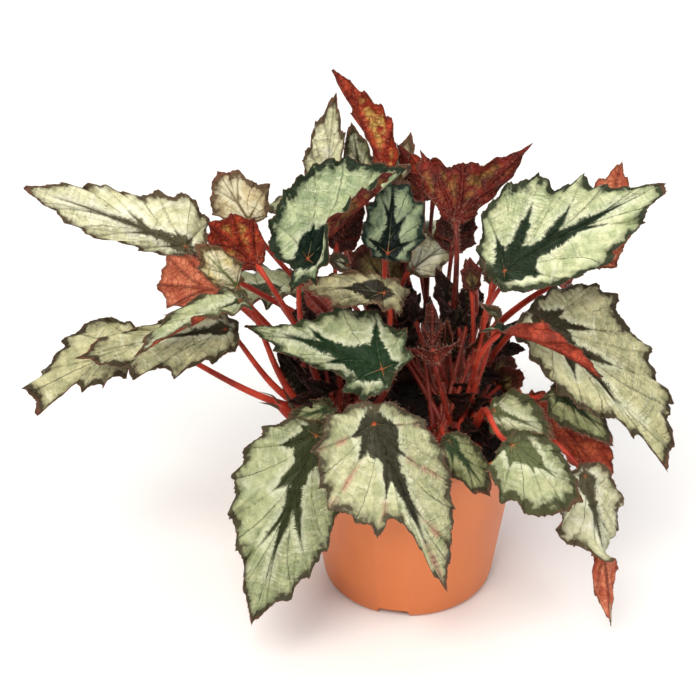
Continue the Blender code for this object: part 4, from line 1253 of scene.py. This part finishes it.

# %% [markdown]
# ## Young leaves
#
# A full pot is crowded in the middle. Young leaves come up there folded along the midrib, bronze and
# shaggy with hairs, and a few others show in part behind the big ones. They are rows of the same kind
# as the table's, and these, which show in the photo, are placed one by one.

# %% Young leaves
SHOOT = Rhizome("shoot", (10, -30), (30, -24))
FAN = ((95, 70), (90, 135), (50, 75), (0, 15))
ROUND = ((97, 20), (80, 42), (45, 56), (10, 48), (-12, 20))
YOUNG = (
    leaf("young_bronze_high", "shoot", (29, 0, 177), (26, 4, 190), (-0.2, -0.8, 0.5),
         fold=(45, 50), meet=15),
    leaf("young_curl_high", "shoot", (39, -4, 183), (36, -4, 196), (-0.3, -0.6, 0.7),
         fold=(60, 20), meet=15),
    leaf("young_curl", "shoot", (41, -20, 170), (32, -22, 181), (0, -0.6, 0.8), fold=(60, 30),
         meet=20),
    leaf("young_bronze_low", "shoot", (32, -8, 143), (39, -6, 163), (0.1, -0.7, 0.6),
         fold=(55, 55), meet=10),
    leaf("young_sheath", "shoot", (18, -4, 143), (17, -2, 158), (0.1, -0.9, 0.3), fold=(60, 60),
         meet=5),
    leaf("young_bronze_left", "shoot", (12, -8, 145), (8, -4, 168), (-0.1, -0.8, 0.5),
         fold=(60, 60), meet=10),
    leaf("young_collar", "shoot", (11, -24, 146), (10, -27, 156), (0, 1, -0.2), FAN, FAN,
         fold=(20, 20), meet=5),
    leaf("young_dark_right", "shoot", (24, 8, 147), (26, 14, 166), (0, -0.8, 0.6), meet=30),
    leaf("young_dark_mass", "shoot", (19, 14, 158), (12, 20, 174), (0, -0.8, 0.6), meet=30),
    leaf("young_dark_high", "shoot", (30, 10, 158), (28, 14, 176), (0.1, -0.8, 0.6), meet=30),
    leaf("young_dark_lip", RIGHT, (46, 6, 112), (57, 4, 121), (0, -0.8, 0.6), ROUND, ROUND,
         fold=(20, 25), meet=30),
    leaf("young_dark_wall", RIGHT, (44, 16, 112), (52, 26, 116), (0, -0.9, 0.4), ROUND, ROUND,
         fold=(25, 15), meet=30),
    leaf("young_crisp_right", RIGHT, (73, -26, 130), (101, -40, 107), (0.45, -0.5, 0.75),
         fold=(10, -15), meet=60),
    leaf("young_dark_left", LEFT, (-50, 14, 103), (-68, 14, 132), (-0.1, -0.9, 0.4), meet=30),
    leaf("young_maroon_fold", LEFT, (-37, 17, 191), (-23, 22, 213), (0.1, 0.9, -0.3), meet=60),
    leaf("young_maroon_low", BACK, (21, 27, 184), (26, 34, 213), (0.1, 0.9, -0.2), meet=60),
    leaf("young_pale_lobe", LEFT, (-32, 5, 185), (-45, 0, 193), (0.2, -0.5, 0.8), meet=60),
    leaf("young_brown_back", BACK, (-11, 34, 150), (-25, 50, 168), (0, -0.8, 0.6), ROUND, ROUND,
         meet=60),
    leaf("young_red_back", BACK, (6, 54, 196), (-7, 60, 221), (0, 0.9, 0.1), meet=75),
    leaf("young_red_side", BACK, (12, 53, 199), (-2, 56, 219), (0.3, 0.9, 0), meet=75),
)
# The others have a bronze face and a maroon underside.
YOUNG_LOOKS = {
    "young_curl_high": ("silver", "red"),
    "young_curl": ("silver", "red"),
    "young_crisp_right": ("olive", "red"),
    "young_maroon_fold": ("deep", "dark"),
    "young_maroon_low": ("deep", "dark"),
    "young_pale_lobe": ("grey", "red"),
    "young_red_back": ("deep", "maroon"),
    "young_red_side": ("deep", "orange"),
    # On these leaves the nearly black dark skins paint the deep shade inside the plant.
    "young_dark_right": ("dark", "dark"),
    "young_dark_mass": ("dark", "dark"),
    "young_dark_high": ("dark", "dark"),
    "young_dark_lip": ("bronze", "dark"),
    "young_dark_wall": ("bronze", "dark"),
    "young_dark_left": ("dark", "dark"),
}
print("young leaves", len(YOUNG))

# %% [markdown]
# ## Shaded leaves
#
# Small dark leaves fill the gaps between the stalks, and their nearly black skins paint the deep shade
# there. Nobody would place them one by one, so they are drawn at random from fixed seeds: two fans of
# long stalks behind the big leaves, and a crowd of short ones inside the bunch.

# %% Shaded leaves
INNER_LEAVES = 64
INNER_LENGTHS = (15, 26)
INNER_REACH = 50
INNER_LOW = 106
# The shaded leaves stand lower in front, where the photo shows only stalks.
INNER_CLIMB = 0.5
# Those behind this depth grow from the back rhizome, the others from the left or right one.
BACK_FROM = 24
# Each fan: where it roots, how many leaves it has, and between which x, y and z they start.
FANS = (
    ("shoot", 9, (-16, 36), (4, 22), (134, 154)),
    (LEFT, 14, (-58, -28), (2, 22), (116, 144)),
)
FAN_LENGTHS = (13, 19)
SHADED_FOLD = (25, 25)


def fan_rows():
    """The fans' leaves, drawn at random."""
    draw = random.Random("fan")
    rows = []
    for home, count, *ranges in FANS:
        for _ in range(count):
            x, y, z = (draw.uniform(*each) for each in ranges)
            size = draw.uniform(*FAN_LENGTHS)
            tip = (x + size * draw.uniform(-0.6, 0.6), y + size * 0.4, z + size * 0.8)
            face = (draw.uniform(-0.4, 0.4), -0.8, 0.5)
            rows.append(leaf(f"fan_{len(rows)}", home, (x, y, z), tip, face, fold=SHADED_FOLD))
    return rows


def inner_rows():
    """Small shaded leaves between the stalks, drawn at random."""
    draw = random.Random("inner")
    rows = []
    for number in range(INNER_LEAVES):
        turn, out = draw.uniform(0, math.tau), INNER_REACH * math.sqrt(draw.random())
        x, y = math.cos(turn) * out, math.sin(turn) * out
        z = INNER_LOW + INNER_CLIMB * (y + INNER_REACH) * draw.uniform(0.1, 1)
        size = draw.uniform(*INNER_LENGTHS)
        tip = (x + size * 0.7 * math.cos(turn), y + size * 0.7 * math.sin(turn),
               z + size * draw.uniform(-0.2, 0.7))
        face = (draw.uniform(-0.5, 0.5), -0.7, draw.uniform(0.4, 0.9))
        home = BACK if y > BACK_FROM else LEFT if x < 0 else RIGHT
        row = leaf(f"inner_{number}", home, (x, y, z), tip, face, fold=SHADED_FOLD, meet=30)
        rows.append(row)
    return rows


extra_leaves = [*YOUNG, *fan_rows(), *inner_rows()]
for each in extra_leaves:
    # The fan and inner leaves wear the nearly black skins, as painted shade.
    plain = ("bronze", "maroon") if each in YOUNG else ("dark", "dark")
    look = (*YOUNG_LOOKS.get(each.name, plain), *PLAIN_LOOK[2:])
    blades[each.name] = grow(each._replace(finish="olive_leaf"), look)
print("young and inner leaves", len(extra_leaves))

# %% [markdown]
# ## Rhizomes and stalks
#
# A rex begonia creeps: its stem lies on the soil as a knobbly rhizome, and every stalk rises
# from it and arches over to its blade. Each stalk is a smooth curve set by four guide
# points, from its root on the rhizome to its seat under the blade. Grown leaves root side
# by side along the rhizome, so that their stalks don't cross at the foot.

# %% Courses of the stalks
RHIZOME_RADIUS = 7.5 * MM
RHIZOME_HEIGHT = 97.5 * MM
ROOT_ASIDE = 0.4
YOUNG_ROOT_ASIDE = 0.5
STALK_POINTS = 28
STALK_DROP = 0.3
STALK_LEAN = 0.45
YOUNG_TURN = 0.3
STALK_SEAT = 0.7 * MM
# Three long stalks lean on the pot's left lip, and this is the guide point of each after its foot.
LEANING = {
    "leaf_far_left": (-78, -24, 114),
    "leaf_left_under": (-70, -18, 112),
    "leaf_left_mid": (-72, -16, 114),
}


def rhizome_ends(rhizome):
    return [Vector((x * MM, y * MM, RHIZOME_HEIGHT)) for x, y in (rhizome.start, rhizome.end)]


def stalk_end(leaf):
    """Where the stalk stops under the blade, and which way it points there."""
    turn = blade_frame(leaf).to_3x3().normalized()
    meet = math.radians(leaf.meet)
    direction = turn @ Vector((math.cos(meet), 0, math.sin(meet)))
    return Vector(leaf.junction) * MM - direction * STALK_SEAT, direction


def stalk_roots(rhizome, leaves):
    """Where each leaf's stalk leaves the rhizome: side by side along it, in their order."""
    start, end = rhizome_ends(rhizome)
    line = end - start
    order = sorted(leaves, key=lambda leaf: line.dot(Vector(leaf.junction)))
    roots = {}
    for place, leaf in enumerate(order):
        middle = start.lerp(end, (place + 0.5) / len(order))
        out = Vector(leaf.junction) * MM - middle
        out -= line * out.dot(line) / line.length_squared
        out.z = 0
        roots[leaf.name] = middle + out.normalized() * RHIZOME_RADIUS * ROOT_ASIDE
    return roots


def young_root(leaf, rhizome):
    """A young stalk rises from anywhere on the rhizome."""
    draw = random.Random(leaf.name)
    start, end = rhizome_ends(rhizome)
    aside = Vector((draw.uniform(-1, 1), draw.uniform(-1, 1), 0))
    return start.lerp(end, draw.random()) + aside * RHIZOME_RADIUS * YOUNG_ROOT_ASIDE


def stalk_path(leaf, root):
    """Points from the root to the blade. The stalk of a young leaf runs nearly straight."""
    end, direction = stalk_end(leaf)
    span = end - root
    if leaf in extra_leaves:
        direction = (span.normalized() + direction * YOUNG_TURN).normalized()
    flat = Vector((span.x, span.y, 0))
    upward = (Vector((0, 0, 1)) + STALK_LEAN * flat.normalized()).normalized()
    leaning = LEANING.get(leaf.name)
    return interpolate_bezier(
        root,
        Vector(leaning) * MM if leaning else root + upward * span.length * leaf.rise,
        end - direction * span.length * STALK_DROP,
        end,
        STALK_POINTS,
    )


seat = stalk_end(LEAVES[0])[0]
print("the front leaf's stalk ends at", [round(place / MM, 1) for place in seat], "mm")

# %% [markdown]
# ## Bunches
#
# A rhizome and all the stalks that grow from it are one curve object with a round bevel. The
# rhizome swells at its nodes, and a stalk is thicker at the foot and a little swollen under
# the blade. Curves keep their round section however they bend, which a mesh tube would not.

# %% Bunches
RHIZOME_NODES = 4
RHIZOME_WAIST = 0.84
RHIZOME_POINTS = 33
RHIZOME_OVERHANG = 0.6
RHIZOME_TIP = 0.4
STALK_BASE_RADIUS = 2.4 * MM
STALK_TOP_RADIUS = 1.15 * MM
STALK_TAPER = 1.7
# Just below the blade a stalk swells by this much, at this place along it and over this stretch.
SWELLING, SWELLING_AT, SWELLING_STRETCH = 0.5 * MM, 0.95, 0.04
STALK_TIP_RADIUS = 0.5 * MM
YOUNG_STALK = 0.85
# These stalks are darker, wine red all the way up, as painted shade deep in the plant.
SHADED_STALKS = ("leaf_red_right_high", "young_maroon_low", "young_red_back", "young_red_side")


def stalk_radius(place):
    """The stalk's radius, with place from 0 at its foot to 1 at the blade."""
    return STALK_TOP_RADIUS + (STALK_BASE_RADIUS - STALK_TOP_RADIUS) * (1 - place) ** STALK_TAPER


def round_curve(name, finishes, smoothness):
    """An empty curve with a round bevel, whose points carry the radius."""
    line = bpy.data.curves.new(name, "CURVE")
    line.dimensions = "3D"
    line.bevel_depth = 1
    line.bevel_resolution = smoothness
    line.use_fill_caps = True
    for finish in finishes:
        line.materials.append(finish)
    return line


def add_spline(line, points, radii, material_index):
    spline = line.splines.new("POLY")
    spline.points.add(len(points) - 1)
    for target, point, radius in zip(spline.points, points, radii):
        target.co = (*point, 1)
        target.radius = radius
    spline.material_index = material_index
    spline.use_smooth = True


def add_rhizome(line, rhizome):
    start, end = rhizome_ends(rhizome)
    overhang = (end - start).normalized() * RHIZOME_RADIUS * RHIZOME_OVERHANG
    places = np.linspace(0, 1, RHIZOME_POINTS)
    body = [start - overhang, *(start.lerp(end, place) for place in places), end + overhang]
    waist = (1 + RHIZOME_WAIST) / 2
    swell = waist + (1 - waist) * np.cos(places * RHIZOME_NODES * math.tau)
    radii = RHIZOME_RADIUS * np.array([RHIZOME_TIP, *swell, RHIZOME_TIP])
    add_spline(line, body, radii, 0)


def bunch(rhizome):
    """A rhizome with all its stalks, and the stalks' paths for the hairs."""
    line = round_curve(rhizome.name, (rhizome_material, stalk_material, shaded_stalk_material), 5)
    add_rhizome(line, rhizome)
    rows = {each.name: each for each in LEAVES if each.rhizome == rhizome.name}
    roots = stalk_roots(rhizome, rows.values())
    paths = {name: stalk_path(rows[name], root) for name, root in roots.items()}
    # The young shoot shares the right rhizome's curve.
    homes = {rhizome.name: rhizome}
    if rhizome.name == RIGHT:
        homes[SHOOT.name] = SHOOT
    for each in extra_leaves:
        if each.rhizome in homes:
            paths[each.name] = stalk_path(each, young_root(each, homes[each.rhizome]))
    places = np.linspace(0, 1, STALK_POINTS)
    swelling = SWELLING * np.exp(-(((places - SWELLING_AT) / SWELLING_STRETCH) ** 2))
    for name, path in paths.items():
        radii = stalk_radius(places) * (1 if name in rows else YOUNG_STALK) + swelling
        radii[-1] = STALK_TIP_RADIUS
        add_spline(line, path, radii, 2 if name in SHADED_STALKS else 1)
    made = bpy.data.objects.new(rhizome.name + "_stalks", line)
    dressed.objects.link(made)
    return made, paths


stalk_paths = {}
for rhizome in RHIZOMES:
    stalks, paths = bunch(rhizome)
    stalk_paths.update(paths)
    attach(stalks, "root")
    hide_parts(rhizome.name)
print("stalks", len(stalk_paths))

# %% [markdown]
# ## Growing tip
#
# At the left lip a side shoot of the rhizome peeps out of the pot. It ends in a fat red bud,
# and three dry pointed scales, called stipules, stand off it. Each is a round bevelled curve
# that narrows to its tip.

# %% Growing tip
# Each shape: its material, its points and its radii, all in mm.
TIP_SHAPES = (
    (0, ((-46, -14, 98), (-54, -15, 103), (-60, -15, 108), (-65, -14, 113), (-68, -14, 115)),
     (2.4, 2.7, 2.9, 2.3, 0.7)),
    (1, ((-66, -15, 113), (-70, -16, 116), (-76, -16, 117)), (1.0, 0.7, 0.05)),
    (1, ((-65, -14, 114), (-69, -13, 119), (-76, -12, 121)), (0.7, 0.4, 0.05)),
    (1, ((-59, -11, 108), (-61, -9, 113), (-63, -8, 118)), (1.6, 1.0, 0.05)),
)


def growing_tip():
    line = round_curve("growing_tip", (stalk_material, rhizome_material), 4)
    for finish, points, radii in TIP_SHAPES:
        given = range(len(points))
        where = np.linspace(0, len(points) - 1, 4 * len(points))
        smooth = np.stack([np.interp(where, given, axis) for axis in zip(*points)], axis=1)
        add_spline(line, smooth * MM, np.interp(where, given, radii) * MM, finish)
    made = bpy.data.objects.new("growing_tip", line)
    dressed.objects.link(made)
    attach(made, "root")
    return made


print("growing tip of", len(growing_tip().data.splines), "pieces")

# %% [markdown]
# ## Hairs
#
# Soft reddish hairs stand out from the stalks, densest near the blade, a fringe of shorter
# ones lines every margin, and the red undersides have them on their ribs. A hair is a
# three-sided needle. Each kind is one mesh, because thousands of separate needles would
# be slow.

# %% Needles
HAIR_RADIUS = 0.07 * MM


def unit(ways):
    return ways / np.linalg.norm(ways, axis=1)[:, None]


def needles(name, tufts, finish):
    """A mesh of needles. Each tuft is their feet, the ways they point and their lengths in mm."""
    feet, ways, lengths = (np.concatenate(each) for each in zip(*tufts))
    ways = unit(ways)
    first = unit(np.cross(ways, np.where(np.abs(ways[:, 2:]) > 0.9, (1.0, 0, 0), (0, 0, 1.0))))
    second = np.cross(ways, first)
    ring = [feet + HAIR_RADIUS * (math.cos(a) * first + math.sin(a) * second)
            for a in (0, math.tau / 3, 2 * math.tau / 3)]
    tips = feet + ways * lengths[:, None] * MM
    points = np.stack([*ring, tips], axis=1).reshape(-1, 3)
    base = np.arange(len(feet))[:, None, None] * 4
    sides = (base + np.array(((0, 1, 3), (1, 2, 3), (2, 0, 3), (0, 2, 1)))).reshape(-1, 3)
    mesh = bpy.data.meshes.new(name)
    mesh.from_pydata(points.tolist(), [], sides.tolist())
    made = place_piece(name, mesh, [finish])
    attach(made, "root")
    print(name, len(feet))


# %% [markdown]
# ## Where the hairs stand
#
# On a stalk the feet are drawn at random along its course. On a blade they are taken from the
# mesh itself, where its own numbers say that a point lies on the margin or on a rib.

# %% Hairs
STALK_HAIRS_A_MM = 2.2
STALK_HAIR_LENGTHS = (0.8, 2.4)
# Below 1, this crowds the hairs towards the blade.
STALK_HAIR_CROWDING = 0.8
STALK_HAIR_LEAN = 0.35
STALK_HAIR_SPREAD = 0.15
HAIR_SINK = 0.9
# Young leaves are shaggier: they have a hair at every point of the margin, and longer ones.
MARGIN_HAIR_LENGTHS = (0.7, 1.9)
YOUNG_HAIR_LENGTHS = (0.7, 3.5)
MARGIN_HAIR_SPREAD = 0.35
ON_MARGIN = 0.01
RIB_HAIRS_A_MM = 5
RIB_HAIR_LENGTHS = (0.8, 2.6)
RIB_HAIR_SPREAD = 0.5
RIB_WIDTH = 1.6
HAIRY = ("leaf_red_right_high", "leaf_red_left_high", "leaf_red_top", "leaf_young_centre",
         "young_collar", "young_sheath", "young_maroon_fold", "young_maroon_low",
         "young_red_back", "young_red_side")


def stalk_hairs():
    draw = np.random.default_rng(7)
    for path in stalk_paths.values():
        path = np.array(path)
        steps = np.diff(path, axis=0)
        length = np.linalg.norm(steps, axis=1).sum()
        count = int(length / MM * STALK_HAIRS_A_MM)
        # Each spot is a number of steps along the path, just short of its end.
        spots = draw.random(count) ** STALK_HAIR_CROWDING * (len(path) - 1.001)
        whole = spots.astype(int)
        along = unit(steps[whole])
        out = unit(np.cross(along, draw.normal(size=(count, 3))))
        radius = stalk_radius(spots / len(path))[:, None]
        feet = path[whole] + steps[whole] * (spots - whole)[:, None] + out * radius * HAIR_SINK
        ways = out + STALK_HAIR_LEAN * along + draw.normal(0, STALK_HAIR_SPREAD, (count, 3))
        yield feet, ways, draw.uniform(*STALK_HAIR_LENGTHS, count)


def spots_where(made, value, limit):
    """Where a blade's vertices with a small value of that name lie, and their normals."""
    mesh = made.data
    values = np.empty(len(mesh.vertices))
    mesh.attributes[value].data.foreach_get("value", values)
    places, normals = np.empty((2, len(values), 3))
    mesh.vertices.foreach_get("co", places.ravel())
    mesh.vertices.foreach_get("normal", normals.ravel())
    return places[values < limit], normals[values < limit]


def margin_hairs():
    draw = np.random.default_rng(11)
    for each in (*LEAVES, *YOUNG):
        step, lengths = (2, MARGIN_HAIR_LENGTHS) if each in LEAVES else (1, YOUNG_HAIR_LENGTHS)
        rim, _ = spots_where(blades[each.name], "edge_mm", ON_MARGIN)
        rim = rim[::step]
        out = unit(rim - np.array(each.junction) * MM)
        ways = out + draw.normal(0, MARGIN_HAIR_SPREAD, out.shape)
        yield rim, ways, draw.uniform(*lengths, len(out))


def rib_hairs():
    """Hairs on the ribs of red undersides, most of which face the camera."""
    draw = np.random.default_rng(5)
    for name in HAIRY:
        made = blades[name]
        places, normals = spots_where(made, "vein_mm", RIB_WIDTH)
        count = round(RIB_HAIRS_A_MM * max(made.dimensions) / MM)
        chosen = draw.integers(len(places), size=count)
        places, normals = places[chosen], normals[chosen]
        feet = places - normals * LEAF_THICKNESS * MM / 2
        ways = draw.normal(0, RIB_HAIR_SPREAD, normals.shape) - normals
        yield feet, ways, draw.uniform(*RIB_HAIR_LENGTHS, count)


needles("stalk_hairs", stalk_hairs(), stalk_hair)
needles("margin_hairs", margin_hairs(), margin_hair)
needles("rib_hairs", rib_hairs(), stalk_hair)

# %% [markdown]
# ## Floor, light and camera
#
# The photo was taken in even studio light on white. A broad soft lamp above the front
# left gives the leaves their shape, a weaker one from the right fills the shade, and
# the pale surroundings light the rest. The camera looks down 35 degrees from in front through
# a long lens, as the photo's does.

# %% Floor, light and camera
CAMERA_AIM = Vector((-31.5, 0, 139)) * MM
CAMERA_DISTANCE = 1400 * MM
CAMERA_DROP = math.radians(35)
CAMERA_LENS = 145.1
FLOOR_HALF_WIDTH = 4
SKY_STRENGTH = 0.4
# The floor lies a hair's breadth under the pot, so that the two don't flicker.
FLOOR_GAP = 0.2 * MM


def floor():
    material, tree, shader = new_material("matt_white_paper")
    plug(tree, shader, Base_Color=linear("#F4F4F2"), Roughness=0.9)
    shape = bmesh.new()
    bmesh.ops.create_grid(shape, x_segments=1, y_segments=1, size=FLOOR_HALF_WIDTH)
    mesh = bpy.data.meshes.new("floor")
    shape.to_mesh(mesh)
    shape.free()
    made = place_piece("floor", mesh, [material])
    made.location.z = -FLOOR_GAP
    made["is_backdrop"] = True


def lamp(name, place, size, power, colour):
    light = bpy.data.lights.new(name, "AREA")
    light.size, light.energy, light.color = size, power, linear(colour)[:3]
    made = bpy.data.objects.new(name, light)
    made.location = place
    made.rotation_euler = (CAMERA_AIM - Vector(place)).to_track_quat("-Z", "Y").to_euler()
    bpy.context.scene.collection.objects.link(made)


def camera():
    lens = bpy.data.cameras.new("camera")
    lens.lens = CAMERA_LENS
    made = bpy.data.objects.new("camera", lens)
    back = Vector((0, -math.cos(CAMERA_DROP), math.sin(CAMERA_DROP)))
    made.location = CAMERA_AIM + back * CAMERA_DISTANCE
    made.rotation_euler = back.to_track_quat("Z", "Y").to_euler()
    bpy.context.scene.collection.objects.link(made)
    bpy.context.scene.camera = made


def surroundings():
    world = bpy.context.scene.world or bpy.data.worlds.new("studio")
    bpy.context.scene.world = world
    world.use_nodes = True
    plug(world.node_tree, world.node_tree.nodes["Background"], Color=linear("#FBFBFA"),
         Strength=SKY_STRENGTH)


floor()
# Each lamp: its place and its width in metres, its power in watts and its colour.
lamp("key", (-0.5, -1.0, 1.6), 1.0, 31, "#FFFAF2")
lamp("fill", (1.2, -1.0, 1.1), 1.2, 12, "#F6F9FF")
lamp("overhead", (0.1, 0.5, 1.9), 1.4, 18, "#FFFFFF")
surroundings()
camera()
bpy.context.scene.view_settings.view_transform = "Standard"
print("lamps", len(bpy.data.lights))

# %% [markdown]
# ## Measure and finish
#
# The finished plant has to stay within the frame's box, give or take what the hairs and
# ruffles add, so both boxes are written down.

# %% Measure and finish
boxes = {"cad": cad_box, "visual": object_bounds()}
{name: [list(corner) for corner in box] for name, box in boxes.items()}
print({name: [[round(c, 3) for c in corner] for corner in box] for name, box in boxes.items()})
